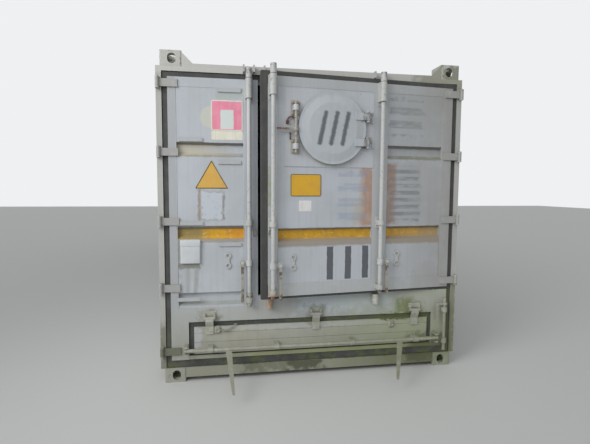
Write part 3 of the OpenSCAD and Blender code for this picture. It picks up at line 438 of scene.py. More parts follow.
def yellow_band(finish, x0, x1, z0, z1):
    """A sprayed band with a brown left end, an orange stretch, worn spots and bright glints."""
    x = finish.axis("X")
    band = finish.window(x0, x1, z0, z1, soft=6, ragged=5)
    finish.coat(band, band_yellow, rough=0.5)
    worn = finish.broken(band, 38, 0.46, 0.62, stretch=(1, 1, 0.4), detail=8)
    finish.coat(worn, band_worn, rough=0.7, strength=0.55)
    brown_end = finish.math("MULTIPLY", band, finish.ramp(x, -0.84, -0.96))
    finish.coat(brown_end, "#8B8058", rough=0.75, strength=0.80)
    orange = finish.math("MULTIPLY", band, finish.ramp(x, -0.76, -0.66))
    orange = finish.math("MULTIPLY", orange, finish.ramp(x, -0.52, -0.56))
    finish.coat(orange, "#CF8B25", rough=0.6, strength=0.60)
    glints = finish.broken(band, 26, 0.56, 0.66, stretch=(0.5, 1, 1), detail=7)
    finish.coat(glints, "#EBC56A", rough=0.5, strength=0.55)
    finish.coat(finish.broken(band, 15, 0.60, 0.70, detail=8), "#8E8A78", strength=0.7)


def worn_rows(finish, x0, x1, z0, z1, pitch, colour, strength):
    """Rows of paint rubbed down to a smear, with a bare strip between each row and the next."""
    turns = finish.math("MULTIPLY", finish.axis("Z"), 2 * math.pi / (pitch * mm))
    rows = finish.ramp(finish.math("SINE", turns), -0.55, 0.15)
    mask = finish.broken(finish.window(x0, x1, z0, z1, soft=24, ragged=40),
                         34, 0.22, 0.62, stretch=(0.22, 1, 1), detail=3)
    finish.coat(finish.math("MULTIPLY", mask, rows), colour, rough=0.75, strength=strength)


def shade_right(finish, from_x, to_x):
    """Painted shade: a duller, warmer tone that grows towards the shaded right side, with its places in
    metres.
    """
    shaded = finish.broken(finish.ramp(finish.axis("X"), from_x, to_x), 300, 0.05, 0.60)
    finish.coat(shaded, "#94918A", rough=0.7, strength=0.62)


print("the band runs from", band_low, "to", band_high, "mm above the ground")

# %% [markdown]
# The left sheet carries most marks. Painted shadow darkens its recesses under their upper edges, and dirt
# collects along their lower edges. Grime and painted shadow darken the sheet just under the document
# box, run-off stains the sheet below it, a torn label is left as a pale patch, and a round spot of old
# glue shows beside the red plate.

# %% Left sheet
sheet = panel_enamel("chalky enamel on left sheet")
yellow_band(sheet, -1108, -588, 1152, 1236)
warm = sheet.math("MULTIPLY", sheet.window(-1106, -500, 1796, 1904, soft=4, ragged=6),
                  sheet.ramp(sheet.axis("X"), -0.55, -1.05))
sheet.coat(warm, "#C4BBA4", strength=0.75)
patches(sheet, (
    (-1106, -592, 1886, 1906, 6, 5, "#68665C", 0.8, 0.65),     # painted shadow under the upper edge of the high recess
    (-1106, -592, 1794, 1810, 8, 8, "#8A8A74", 0.9, 0.60),     # its lower edge
    (-1250, -1108, 560, 2420, 5, 4, "#A5A6A8", None, 0.70),    # left stile
    (-1106, -590, 1228, 1246, 6, 5, "#5F5A48", 0.8, 0.65),     # painted shadow above the band, under the recess's upper edge
    (-935, -590, 1126, 1156, 8, 6, "#948672", 0.8, 0.60),      # below the band
    (-1100, -926, 916, 966, 14, 20, "#74745F", 0.9, 0.70),     # grime and painted shadow under the document box
    (-1106, -1086, 930, 1150, 8, 10, "#74745F", 0.9, 0.60)))   # beside the document box
run_off = sheet.broken(sheet.window(-1092, -938, 715, 930, soft=30, ragged=40),
                       30, 0.30, 0.66, stretch=(1, 1, 0.05))
sheet.coat(run_off, "#8F9088", rough=0.8, strength=0.60)
patches(sheet, (
    (-805, -596, 2236, 2318, 20, 24, "#A9B3AB", None, 0.55),   # over the red plate
    (-945, -733, 1291, 1545, 14, 26, "#9D968E", 0.8, 0.50)))   # round the torn label
label = sheet.broken(sheet.window(-932, -745, 1300, 1536, soft=10, ragged=34), 46, 0.20, 0.46, detail=7)
sheet.coat(label, "#C3CBD5", rough=0.55, rise=0.3, strength=0.85)
patches(sheet, (
    (-764, -735, 1300, 1500, 8, 18, "#6F6A66", None, 0.45),    # dark right edge of the label
    (-952, -925, 1300, 1540, 12, 18, "#8F7A66", None, 0.60)))  # brown left edge of the label
sheet.coat(sheet.disc(-840, 2100, 84), "#C9CBBB", rough=0.7, rise=0.3, strength=0.75)
left_sheet_enamel = sheet.done()

# %% [markdown]
# The right sheets are smeared rather than stained: broad pale and brown patches, rows of rubbed
# paint, and three plain dark bars low down. Smears are masks with a large grain, stretched upright.

# %% Right sheets
bar_xs, bar_half_w, bar_low, bar_high = (88, 242, 392), 27, 824, 1092

sheet = panel_enamel("chalky enamel on right sheets")
yellow_band(sheet, -400, 1200, band_low, band_high)
for x0, x1, z0, z1, grain, colour, strength in (
        (575, 1080, 1850, 2330, 200, "#A2A5A4", 0.35),
        (565, 870, 1270, 1760, 200, "#A6AAAE", 0.55),
        (345, 446, 1270, 1700, 90, "#B7A08F", 0.70),
        (290, 446, 1270, 1440, 90, "#B5AB98", 0.55),
        (375, 446, 1270, 1700, 70, "#A98068", 0.70),
        (562, 640, 1280, 1745, 80, "#A3846F", 0.80)):
    smear = sheet.broken(sheet.window(x0, x1, z0, z1, soft=50, ragged=24),
                         grain, 0.10, 0.58, stretch=(1, 1, 0.5), detail=5)
    sheet.coat(smear, colour, rough=0.75, strength=strength)
worn_rows(sheet, 590, 880, 1280, 1745, 58, "#7C828A", 0.80)
worn_rows(sheet, 572, 900, 1985, 2290, 108, "#868C8E", 0.75)
worn_rows(sheet, 150, 400, 1300, 1690, 118, "#8F9DB0", 0.45)
patches(sheet, [(x - bar_half_w, x + bar_half_w, bar_low, bar_high, 3, 4, "#43474C", 0.6, 0.88)
                for x in bar_xs])
# Painted shade: a duller tone over the right side, which lies in shade.
shade_right(sheet, 0.45, 1.15)
patches(sheet, (
    (-400, 1200, 1226, 1246, 6, 5, "#5F5A48", 0.8, 0.55),      # painted shadow above the band, under the recess's upper edge
    (572, 1085, 1884, 1906, 6, 5, "#68665C", 0.8, 0.60),       # painted shadow under the upper edge of the high recess
    (572, 1085, 1794, 1812, 8, 8, "#7F7F72", 0.9, 0.60),       # its lower edge
    (-400, 1200, 1106, 1157, 22, 8, "#948672", 0.8, 0.75)))    # below the band
right_sheet_enamel = sheet.done()

# %% [markdown]
# The stiles round the right sheets are a little greyer, with a green stain beside the middle rod and painted
# shade towards the right.
# Walls and roof are the same enamel with other shares of dirt and algae.

# %% Stiles, walls and roof
stiles = panel_enamel("chalky enamel on stiles", "#B5B8BA")
stain = stiles.broken(stiles.window(-440, -370, 1409, 1728, soft=10), 60, 0.25, 0.60, detail=5)
stiles.coat(stain, "#A2A68B", rough=0.7, strength=0.85)
# Painted shade over the right side of the stiles.
shade_right(stiles, 0.55, 1.20)
leaf_enamel = stiles.done()
wall_enamel = panel_enamel("chalky enamel on walls", "#A9AFB4", dirt=1.2).done()
roof_enamel = panel_enamel("chalky enamel on roof", "#A9AEB0", algae=0.30, dirt=0.55).done()

# %% [markdown]
# The foot, its flap and the sill stay damp, so they turn green towards the shaded right end. The
# same coats serve all four pieces, each with its own base colour and tint: pale bands, a green
# wash, dark clumps along the top of the flap and a dark halo round each flap hinge.

# %% Foot, flap, sill and lower beam
flap_hinge_xs = (-868, 0, 868)


def damp_enamel(name, colour, tint, tint_strength, damp_from=-0.10, damp_to=0.95):
    """Foot enamel that turns green between two places in metres, with dark clumps and halos."""
    foot = panel_enamel(name, colour, algae=0.9, dirt=1.1)
    drips = foot.broken(foot.ramp(foot.axis("Z"), 0.60, 0.40),
                        70, 0.40, 0.74, stretch=(1, 1, 0.10), detail=5)
    foot.coat(drips, "#8C8A76", rough=0.8, strength=0.25)
    patches(foot, (
        (-140, 640, 560, 720, 120, 80, "#C6D2DA", None, 0.60),     # pale middle of the top beam
        (-900, 640, 398, 446, 16, 24, "#BABEBE", None, 0.45),      # pale upper edge of the flap
        (-1010, -925, 285, 446, 18, 24, "#BCBFC7", None, 0.55)))   # pale left end of the flap
    damp = foot.broken(foot.ramp(foot.axis("X"), damp_from, damp_to), 420, 0.05, 0.60, detail=3)
    foot.coat(damp, tint, rough=0.9, strength=tint_strength)
    clumps = foot.broken(foot.window(560, 1010, 430, 500, soft=30, ragged=50), 34, 0.40, 0.58, detail=7)
    foot.coat(clumps, "#535E3A", rough=0.95, rise=0.8, strength=0.90)
    wash = foot.broken(foot.window(700, 850, 480, 620, soft=50, ragged=50), 60, 0.25, 0.60, detail=6)
    foot.coat(wash, "#727E48", rough=0.95, rise=0.5, strength=0.85)
    for hinge_x in flap_hinge_xs:
        halo = foot.window(hinge_x - 85, hinge_x + 85, 420, 592, soft=45, ragged=55)
        foot.coat(foot.broken(halo, 50, 0.25, 0.60, detail=6), "#6C6C55", rough=0.9, strength=0.55)
    patches(foot, (
        (820, 1210, 40, 300, 70, 70, "#55573F", 0.95, 0.65),       # dark right end
        (-600, 80, 40, 158, 60, 80, "#5B5D45", 0.95, 0.55),        # damp middle of the sill
        (-240, 60, 40, 150, 40, 60, "#3F4033", 0.95, 0.60)))       # its darkest stretch
    return foot.done()


foot_enamel = damp_enamel("chalky enamel on foot", "#B3B6B4", "#9CA288", 0.65)
flap_enamel = damp_enamel("chalky enamel on flap", "#B4B3A8", "#99A183", 0.75)
sill_enamel = damp_enamel("dull enamel on sill", "#93937F", "#6F7459", 0.90)
low_beam_enamel = damp_enamel("chalky enamel on lower beam", "#B9BBA2", "#9BA072", 0.75, -0.75, -0.40)

# %% [markdown]
# Header, posts and sill are thicker plate in a warmer light grey, duller than the doors. The
# corner castings are cast steel with a rough skin under the same paint, chipped by years of
# lifting hooks.

# %% Frame enamel and castings
frame_finish = Finish("dull enamel on frame", "#B4B4AE", 0.6)
weather(frame_finish, algae=1.2, dirt=1.1)
patches(frame_finish, (
    (-1260, 1260, 2420, 2600, 20, 20, "#CCCBC6", None, 0.50),      # paler header, painted light from the bright sky above
    (830, 1260, 2380, 2600, 90, 90, "#84836A", 0.9, 0.60),         # its olive right end
    (1170, 1260, 60, 780, 50, 60, "#6B6D47", 0.9, 0.65),           # mossy foot of the right post
    (-1260, -1170, 60, 480, 70, 60, "#63644F", 0.9, 0.60)))        # and of the left post
frame_enamel = frame_finish.done()

cast = Finish("painted cast steel", "#ABABA1", 0.7)
skin = cast.clouds(6, 0.3, 0.7, detail=5)
cast.height = cast.math("MULTIPLY", skin, 0.5 * mm)
weather(cast, algae=1.3, rust=1.3)
# Painted light: the top castings are paler where the bright sky lights them, as on the header.
cast.coat(cast.ramp(cast.axis("Z"), 2.44, 2.50), "#D0CFC8", strength=0.50)
patches(cast, [(1050, 1260, 2440, 2600, 20, 60, "#74745A", 0.9, 0.65)])
cast.coat(cast.clouds(45, 0.58, 0.66, detail=7), "#77675A", rough=0.85, rise=-0.4, strength=0.6)
cast_enamel = cast.done()

# %% [markdown]
# Door rubber is extruded black profile that has greyed with dust. It carries fine lines along
# its length and a little green where water stands.

# %% Rubber
rubber = Finish("weathered door rubber", "#464745", 0.8)
rubber.coat(rubber.clouds(120, 0.38, 0.68, detail=6), "#5D5E5A", strength=0.50)
patches(rubber, [(1100, 1230, 60, 700, 40, 60, "#62643F", 0.95, 0.60)])
rubber.coat(rubber.clouds(14, 0.45, 0.75, stretch=(1, 1, 0.05)), "#3A3B3C", rise=0.5, strength=0.6)
wet = rubber.broken(rubber.ramp(rubber.axis("Z"), 0.60, 0.12), 90, 0.44, 0.62, detail=8)
rubber.coat(wet, "#5D6544", rough=0.95, rise=0.5, strength=0.75)
clods = rubber.broken(rubber.window(520, 1010, 440, 500), 30, 0.34, 0.54, detail=7)
rubber.coat(clods, "#566140", rough=0.95, rise=1.0, strength=0.90)
film = rubber.broken(rubber.window(-250, 1010, 440, 500, soft=30, ragged=30), 90, 0.20, 0.60, detail=6)
rubber.coat(film, "#5D6444", rough=0.9, strength=0.60)
rubber.coat(rubber.broken(rubber.facing_up(), 60, 0.38, 0.56), "#6B7350", strength=0.8)
door_rubber = rubber.done()

# %% [markdown]
# Rods, handles, guides and hinges are forgings and tubes, painted with the doors and handled
# since, so bare rust shows at their ends, round the hubs and wherever steel rubs on steel.

# %% Door gear


def gear_enamel(name, colour="#BDBFBC", rust=1.0, ends=()):
    """Paint on door gear, with bare rust in the given ranges of height."""
    finish = Finish(name, colour, 0.5)
    weather(finish, algae=0.9, rust=1.6 * rust)
    chips = finish.clouds(24, 0.56, 0.66, detail=8)
    finish.coat(chips, "#75665A", rough=0.85, rise=-0.3, strength=0.45 * rust)
    damp = finish.broken(finish.ramp(finish.axis("Z"), 1.00, 0.62), 40, 0.25, 0.60)
    finish.coat(damp, "#86856F", rough=0.85, strength=0.45)
    orange = finish.broken(finish.window(-440, -345, 560, 770, soft=20, ragged=40, all_round=True),
                           28, 0.30, 0.56, detail=6)
    finish.coat(orange, "#B08A6A", rough=0.9, strength=0.75)
    for z0, z1 in ends:
        zone = finish.window(-3000, 3000, z0, z1, soft=30, ragged=60, all_round=True)
        zone = finish.broken(zone, 36, 0.34, 0.56, detail=8)
        finish.coat(zone, "#5E4433", rough=0.9, rise=-0.2, strength=0.85)
    return finish.done()


hinge_skin = panel_enamel("chalky enamel on hinges", "#A6A5A1", dirt=1.2)
hinge_skin.coat(hinge_skin.ramp(hinge_skin.axis("Z"), 0.62, 0.36), "#5C5E4A", rough=0.95, strength=0.75)
hinge_enamel = hinge_skin.done()
rod_ends = ((560, 740), (2235, 2262), (2440, 2480))
handle_ends = ((620, 760), (850, 940))
gear_paint = gear_enamel("painted door gear")
rod_paint = gear_enamel("painted lock rods", "#C3C5C4", 0.7, ends=rod_ends)
handle_paint = gear_enamel("painted handles", "#A9A89E", 1.2, ends=handle_ends)
bar_paint = gear_enamel("painted flap gear", "#C5C6BE", 0.7)

# %% [markdown]
# Four small finishes are left. Bare steel has rusted through in several browns, the lock of the
# round hatch has lost its paint on the lever, which carries painted highlights, the document box is
# aged plastic, and the floor is scuffed plywood whose grain runs along the container.

# %% Rust, hatch lock, box and floor
rusty = Finish("rusted steel", "#513C30", 0.9)
rusty.coat(rusty.clouds(12, 0.42, 0.66, detail=7), "#7D5942", rise=0.3)
rusty.coat(rusty.clouds(30, 0.52, 0.70, detail=6), "#A58D78", rough=0.7, strength=0.7)
rusty.coat(rusty.clouds(7, 0.60, 0.75), "#2E211B", rise=-0.2)
rusty_steel = rusty.done()

hatch_lock = Finish("worn paint on hatch lock", "#A9A69D", 0.6)
hatch_lock.coat(hatch_lock.clouds(16, 0.46, 0.62, detail=7), "#6B5A4C", rough=0.85, strength=0.55)
lever = hatch_lock.ramp(hatch_lock.axis("X"), -0.235, -0.275)
hatch_lock.coat(lever, "#6E4C3A", rough=0.9, strength=0.9)
# Painted highlights: pale pink-brown spots on the bare lever.
hatch_lock.coat(hatch_lock.broken(lever, 18, 0.48, 0.62, detail=5), "#B39A8B", rough=0.8, strength=0.7)
hatch_lock.coat(hatch_lock.clouds(8, 0.55, 0.68, detail=6), "#3E2E26", rough=0.9, rise=-0.2, strength=0.6)
hatch_lock_paint = hatch_lock.done()

box_skin = Finish("aged white polypropylene", "#CCD0D3", 0.45)
box_skin.coat(box_skin.clouds(90, 0.4, 0.7, detail=3), "#BABDBB", rough=0.6, strength=0.5)
box_plastic = box_skin.done()

deck = Finish("scuffed plywood", "#7A6A56", 0.75)
deck.coat(deck.clouds(150, 0.4, 0.65, detail=8), "#8F8069", strength=0.6)
deck.coat(deck.clouds(14, 0.5, 0.7, stretch=(1, 0.03, 1)), "#4F4538", strength=0.7)
floor_plywood = deck.done()

# %% [markdown]
# The hatch cover is a dished plate. Three strokes were sprayed on it by hand with dark paint,
# so their edges are soft. Each stroke is a thin capsule round a slanting line, made as a mask
# from the distance to that line.

# %% Hatch cover with three sprayed strokes
hatch_z = 2018
stroke_half_l, stroke_r = 118, 19
stroke_spacing, stroke_slant = 92, math.radians(12)
cover_low, cover_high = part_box("hatch_cover")
cover_middle = Vector(((cover_low.x + cover_high.x) / 2 - 0.008, 0, hatch_z * mm))
cover_skin = panel_enamel("chalky enamel on hatch cover", "#B9BEC3", algae=0.7)
along = Vector((math.sin(stroke_slant), 0, math.cos(stroke_slant)))
for step in (-1, 0, 1):
    middle = cover_middle + Vector((step * stroke_spacing * mm, 0, 0))
    flat = add(cover_skin.tree, "ShaderNodeVectorMath",
               {0: cover_skin.place, 1: (1, 0, 1)}, operation="MULTIPLY")
    off = add(cover_skin.tree, "ShaderNodeVectorMath", {0: flat.outputs[0], 1: middle}, operation="SUBTRACT")
    reach = add(cover_skin.tree, "ShaderNodeVectorMath", {0: off.outputs[0], 1: along},
                operation="DOT_PRODUCT").outputs["Value"]
    reach = cover_skin.math("MAXIMUM", reach, -stroke_half_l * mm)
    reach = cover_skin.math("MINIMUM", reach, stroke_half_l * mm)
    nearest = add(cover_skin.tree, "ShaderNodeVectorMath", {0: along, "Scale": reach}, operation="SCALE")
    gap = add(cover_skin.tree, "ShaderNodeVectorMath", {0: off.outputs[0], 1: nearest.outputs[0]},
              operation="DISTANCE").outputs["Value"]
    fray = cover_skin.math("MULTIPLY", cover_skin.clouds(22, 0.2, 0.8), 9 * mm)
    stroke = cover_skin.ramp(cover_skin.math("ADD", gap, fray), (stroke_r + 12) * mm, (stroke_r - 7) * mm)
    stroke = cover_skin.math("MULTIPLY", stroke, cover_skin.outside())
    cover_skin.coat(stroke, "#55585F", rough=0.6, strength=0.9)
print("cover middle", [round(value, 3) for value in cover_middle])

# %% [markdown]
# The collar round the hatch is the same plate. Grime sits round the two hinge lugs on both pieces,
# a painted shadow lies as a dark ring in the gap round the cover, and a stain has run down below it.

# %% Grime, painted shadow and a stain round the hatch
lug_rise, grime_half_h = 96, 48
collar_skin = panel_enamel("chalky enamel on hatch collar", "#BEC2C7")
for skin in (cover_skin, collar_skin):
    for lug_z in (hatch_z - lug_rise, hatch_z + lug_rise):
        grime = skin.window(330, 440, lug_z - grime_half_h, lug_z + grime_half_h, soft=12, ragged=24)
        skin.coat(skin.broken(grime, 44, 0.34, 0.62, detail=6), "#6B6054", rough=0.85, strength=0.70)
cover_x, cover_z = cover_middle.x / mm, cover_middle.z / mm
# Painted shadow: the mask called joint is a dark ring in the gap round the cover.
joint = collar_skin.disc(cover_x + 2, cover_z - 4, 258, soft=5, ragged=5)
stain = collar_skin.math("MULTIPLY", collar_skin.disc(cover_x - 14, cover_z - 22, 276, soft=22, ragged=30),
                         collar_skin.ramp(collar_skin.axis("Z"), 1.96, 1.80))
collar_skin.coat(stain, "#B4AD8C", rough=0.7, strength=0.60)
collar_skin.coat(joint, "#5E5C54", rough=0.85, strength=0.65)
cover_enamel = cover_skin.done()
collar_enamel = collar_skin.done()

# %% [markdown]
# With all finishes mixed, each CAD node takes its own. The table pairs a finish with the nodes
# that wear it, and the last line shows that none was forgotten.

# %% Each CAD node takes its finish
finish_of = {
    left_sheet_enamel: ["left_leaf_upright"],
    right_sheet_enamel: ["right_leaf_sheets"],
    leaf_enamel: ["right_leaf_frame", "placard_strips"],
    hinge_enamel: ["left_leaf_hinges", "right_leaf_hinges"],
    collar_enamel: ["hatch_collar"],
    foot_enamel: ["foot_top_beam", "foot_end_stiles"],
    low_beam_enamel: ["foot_bottom_beam"],
    flap_enamel: ["flap_panel"],
    sill_enamel: ["door_sill"],
    wall_enamel: ["side_walls", "front_wall"],
    roof_enamel: ["roof_panel", "roof_hatches"],
    frame_enamel: ["door_posts", "front_posts", "door_header", "stop_lips", "front_rails",
                   "side_rails", "cross_members", "hinge_lugs"],
    cast_enamel: ["bottom_castings", "top_castings"],
    door_rubber: ["left_leaf_seal", "right_leaf_seal", "flap_seal"],
    gear_paint: ["header_keepers", "left_rod_guides", "right_rod_guides"],
    rod_paint: ["left_rod", "middle_rod", "right_rod"],
    handle_paint: ["left_handle", "middle_handle", "right_handle", "short_rod"],
    bar_paint: ["foot_fittings", "flap_fittings", "flap_lock_bar"],
    hatch_lock_paint: ["hatch_lock_bar"],
    box_plastic: ["document_box"],
    floor_plywood: ["floor"],
    cover_enamel: ["hatch_cover"],
}
for material, names in finish_of.items():
    for name in names:
        nodes[name].data.materials.clear()
        nodes[name].data.materials.append(material)
left_over = sorted(set(nodes) - {name for names in finish_of.values() for name in names})
print("nodes without a finish:", left_over)

# %% [markdown]
# The plates on the doors are thin aluminium with a coloured face. A cube is given the plate's
# size, its corners are rounded, and its front face is inset for the border, so border and field
# are real faces with a finish each. The alternative, a mask in one material, would blur at the
# border.

# %% Blank plates
sheet_face = leaf_face + 2


def printed(name, colour, worn):
    """The aged colour of a plate: worn patches, specks and faint streaks."""
    finish = Finish(name, colour, 0.4)
    finish.coat(finish.clouds(90, 0.40, 0.66, detail=5), worn, rough=0.6, strength=0.65)
    finish.coat(finish.clouds(14, 0.60, 0.72, detail=6), "#8D8A7C", rough=0.8, strength=0.35)
    finish.coat(finish.clouds(22, 0.46, 0.76, stretch=(1, 1, 0.05)), "#86837A", rough=0.7, strength=0.22)
    return finish


yellow_print = printed("faded yellow print", "#DEAD2C", "#D3A03A").done()
dark_print = printed("faded dark print", "#6E6638", "#5A5540").done()
amber_print = printed("faded amber print", "#D8AE55", "#D6A452").done()
cream_print = printed("aged cream print", "#E8E6D8", "#DEDCC8").done()
white_print = printed("white sticker", "#E4E4E2", "#DAD9D4").done()
red_face = printed("sun-bleached red print", "#EC8AA4", "#F0A3B6")
red_face.coat(red_face.window(-768, -668, 2012, 2158, soft=5, ragged=4), "#D5DEDA", rough=0.5)
red_print = red_face.done()


def bordered(piece, border, corner_r, rim_finish, field_finish):
    """Rounds a plate's corners and insets its front face, with a finish for rim and for field."""
    piece.data.materials.append(rim_finish)
    piece.data.materials.append(field_finish)
    bpy.ops.object.mode_set(mode="EDIT")
    round_corners(piece, corner_r)
    pick(piece, "FACE", lambda f: f.normal.y < -0.9)
    bpy.ops.mesh.inset(thickness=border * mm)
    shape = bmesh.from_edit_mesh(piece.data)
    for part in shape.faces:
        part.material_index = 1 if part.select else 0
    bmesh.update_edit_mesh(piece.data)
    bpy.ops.object.mode_set(mode="OBJECT")


def plate(name, corners, thick, border, corner_r, finishes, body):
    """A plate on the sheet of a leaf, from x0, x1, z0, z1, with its rim and field finishes."""
    x0, x1, z0, z1 = corners
    made = block(x0, x1, sheet_face - thick, sheet_face, z0, z1)
    bordered(made, border, corner_r, *finishes)
    return settle([made], name, None, body, body == "right_leaf")


plate("red_plate", (-840, -597, 1998, 2231), 3, 8, 14, (cream_print, red_print), "left_leaf")
plate("cream_plate", (-840, -597, 1928, 1996), 2, 4, 6, (cream_print, cream_print), "left_leaf")
plate("yellow_plate", (-244, 3, 1493, 1664), 3, 6, 14, (dark_print, yellow_print), "right_leaf")
plate("white_square", (-177, -76, 1376, 1460), 1, 4, 5, (white_print, white_print), "right_leaf")

# %% [markdown]
# The triangle is a cylinder of three sides. Rounding its three long edges gives the soft corners of
# a pressed plate, and the inset makes the dark border.

# %% Blank triangle
tri_left, tri_right, tri_low, tri_top = -971, -709, 1549, 1770
tri_r, tri_thick = (tri_top - tri_low) * 2 / 3, 2
triangle = start("primitive_cylinder_add",
                 at((tri_left + tri_right) / 2, sheet_face - tri_thick / 2, tri_low + tri_r / 2),
                 vertices=3, radius=tri_r * mm, depth=tri_thick * mm, rotation=upright)
bpy.ops.object.transform_apply(location=False, rotation=True, scale=False)
bordered(triangle, 7, 9, dark_print, amber_print)
triangle = settle([triangle], "yellow_triangle", None, "left_leaf")
heights = [v.co.z for v in triangle.data.vertices]
print("triangle from", round(min(heights), 3), "to", round(max(heights), 3))

# %% [markdown]
# The document box is a moulded holder with round edges and a lid that laps over its body. Two
# blocks do it, a body and a slightly larger lid, with every edge rounded but those at the back. It
# stands for the plain CAD box.

# %% Document box
lid_h, lid_t, lid_lap = 52, 8, 2
box_low, box_high = [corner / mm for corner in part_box("document_box")]
box_front = box_low.y - door_y / mm
body_part = block(box_low.x + lid_lap, box_high.x - lid_lap, box_front + lid_lap, sheet_face,
                  box_low.z, box_high.z - lid_t)
lid_part = block(box_low.x, box_high.x, box_front, sheet_face, box_high.z - lid_h, box_high.z)
for part, radius in ((body_part, 9), (lid_part, 6)):
    bpy.ops.object.select_all(action="DESELECT")
    part.select_set(True)
    bpy.context.view_layer.objects.active = part
    bpy.ops.object.mode_set(mode="EDIT")
    pick(part, "EDGE", lambda e: (max(v.co.y for v in e.verts) < 0
                                  or abs(e.verts[0].co.y - e.verts[1].co.y) > 1e-5))
    bpy.ops.mesh.bevel(offset=radius * mm, segments=4)
    bpy.ops.object.mode_set(mode="OBJECT")
    bpy.ops.object.shade_smooth_by_angle(angle=math.radians(30))
holder = settle([body_part, lid_part], "document_holder", box_plastic, "left_leaf")
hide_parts("document_box")

# %% [markdown]
# The bolts are all alike: a six-sided cylinder whose front face is inset and pushed out, which
# gives the chamfered head, on a round washer. One is modelled at the origin, and every bolt in
# place is a copy of its mesh.

# %% Bolt
head_r, head_t, washer_r, washer_t = 9.5, 5, 12.5, 1.6
head = start("primitive_cylinder_add", (0, -4 * mm, 0), vertices=6, radius=head_r * mm,
             depth=head_t * mm, rotation=upright)
bpy.ops.object.transform_apply()
bpy.ops.object.mode_set(mode="EDIT")
pick(head, "FACE", lambda f: f.normal.y < -0.9)
bpy.ops.mesh.inset(thickness=1.8 * mm)
bpy.ops.transform.translate(value=(0, -1.2 * mm, 0))
bpy.ops.object.mode_set(mode="OBJECT")
washer = start("primitive_cylinder_add", (0, -washer_t / 2 * mm, 0), vertices=20,
               radius=washer_r * mm, depth=washer_t * mm, rotation=upright)
bpy.ops.object.transform_apply()
bolt = join([head, washer])
bolt.name = "bolt_pattern"


def bolt_at(x, y, z):
    made = twin(bolt)
    made.location = at(x, y, z)
    return made


print("bolt with", len(bolt.data.polygons), "faces")

# %% [markdown]
# A rod guide is bolted down through a plate. The plate is a block with rounded corners that laps
# over the guide's two ends, and each lap takes one bolt. Where a guide has no room for a lap, the
# plate ends with it.

# %% Guide plates with their bolts
flange_w, flange_t, flange_lap, top_guide_h = 56, 5, 30, 150


def guide_plate(x, z0, z1, above=True, below=True):
    """Plate and bolts under the guide that spans z0 to z1 on the rod at x."""
    low, high = z0 - flange_lap * below, z1 + flange_lap * above
    parts = [rounded_block(x - flange_w / 2, x + flange_w / 2, leaf_face - flange_t, leaf_face,
                           low, high, radius=10)]
    if above:
        parts.append(bolt_at(x, leaf_face - flange_t, high - flange_lap / 2))
    if below:
        parts.append(bolt_at(x, leaf_face - flange_t, low + flange_lap / 2))
    return parts


left_rod_x, middle_rod_x, right_rod_x = -550, -390, 502
leaf_top_z, mid_guide, foot_guide, low_guide = 2395, (1261, 1303), (642, 684), (733, 775)
parts = []
for z0, z1 in (foot_guide, mid_guide):
    parts += guide_plate(left_rod_x, z0, z1)
parts += guide_plate(left_rod_x, leaf_top_z - top_guide_h, leaf_top_z, above=False)
settle(parts, "left_guide_plates", gear_paint, "left_leaf")
parts = []
for x in (middle_rod_x, right_rod_x):
    parts += guide_plate(x, *mid_guide)
    parts += guide_plate(x, *low_guide, below=False)
    parts += guide_plate(x, leaf_top_z - top_guide_h, leaf_top_z, above=False)
settle(parts, "right_guide_plates", gear_paint, "right_leaf", True)

# %% [markdown]
# Each flap hinge stands on a plate that is welded to the foot above the flap. Its place comes from
# the flap's hinge line, and it ends above the line, so the flap's straps swing clear of it.

# %% Plates behind the flap hinges
hinge_plate_w, hinge_plate_h, hinge_plate_t, above_line = 108, 40, 4, 14
plate_low = joints["flap_hinge"]["pos_m"][2] / mm + above_line
parts = [rounded_block(x - hinge_plate_w / 2, x + hinge_plate_w / 2, leaf_face - hinge_plate_t, leaf_face,
                       plate_low, plate_low + hinge_plate_h, radius=7) for x in flap_hinge_xs]
settle(parts, "flap_hinge_plates", bar_paint, "left_leaf")

# %% [markdown]
# Roof lids of this kind are held down by clamps round their rim. Each clamp is a short arm on the
# lid with a foot on the roof and a nut, and the places come from the box of the lids in the frame.

# %% Clamps on the roof lids
lids_low, lids_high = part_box("roof_hatches")
lid_count = 4
lid_r = (lids_high.x - lids_low.x) / 2
lid_pitch = (lids_high.y - lids_low.y - 2 * lid_r) / (lid_count - 1)
arm_l, arm_w, arm_t, roof_drop = 90 * mm, 34 * mm, 12 * mm, 60 * mm
nut_r, nut_h = 11 * mm, 12 * mm
parts = []
for i in range(lid_count):
    for turn in (45, 135, 225, 315):
        outward = Vector((math.cos(math.radians(turn)), math.sin(math.radians(turn)), 0))
        rim = Vector(((lids_low.x + lids_high.x) / 2, lids_low.y + lid_r + i * lid_pitch, lids_high.z))
        rim += outward * lid_r
        for place, size in ((rim + Vector((0, 0, arm_t / 2)), (arm_l, arm_w, arm_t)),
                            (rim + outward * (arm_l - arm_t) / 2 - Vector((0, 0, roof_drop / 2)),
                             (arm_t, arm_w, roof_drop))):
            made = start("primitive_cube_add", place, size=1, rotation=(0, 0, math.radians(turn)))
            made.scale = size
            bpy.ops.object.transform_apply(location=False, rotation=True, scale=True)
            bevel_all(2.5)
            parts.append(made)
        nut_place = rim - outward * 14 * mm + Vector((0, 0, arm_t + nut_h / 2))
        parts.append(start("primitive_cylinder_add", nut_place, vertices=6, radius=nut_r, depth=nut_h))
settle(parts, "roof_lid_clamps", gear_paint, "container")

# %% [markdown]
# Two tie rings stand beside the joint between the leaves. A torus is stretched into an oval in edit
# mode, and a bevelled pad carries it.

# %% Tie rings


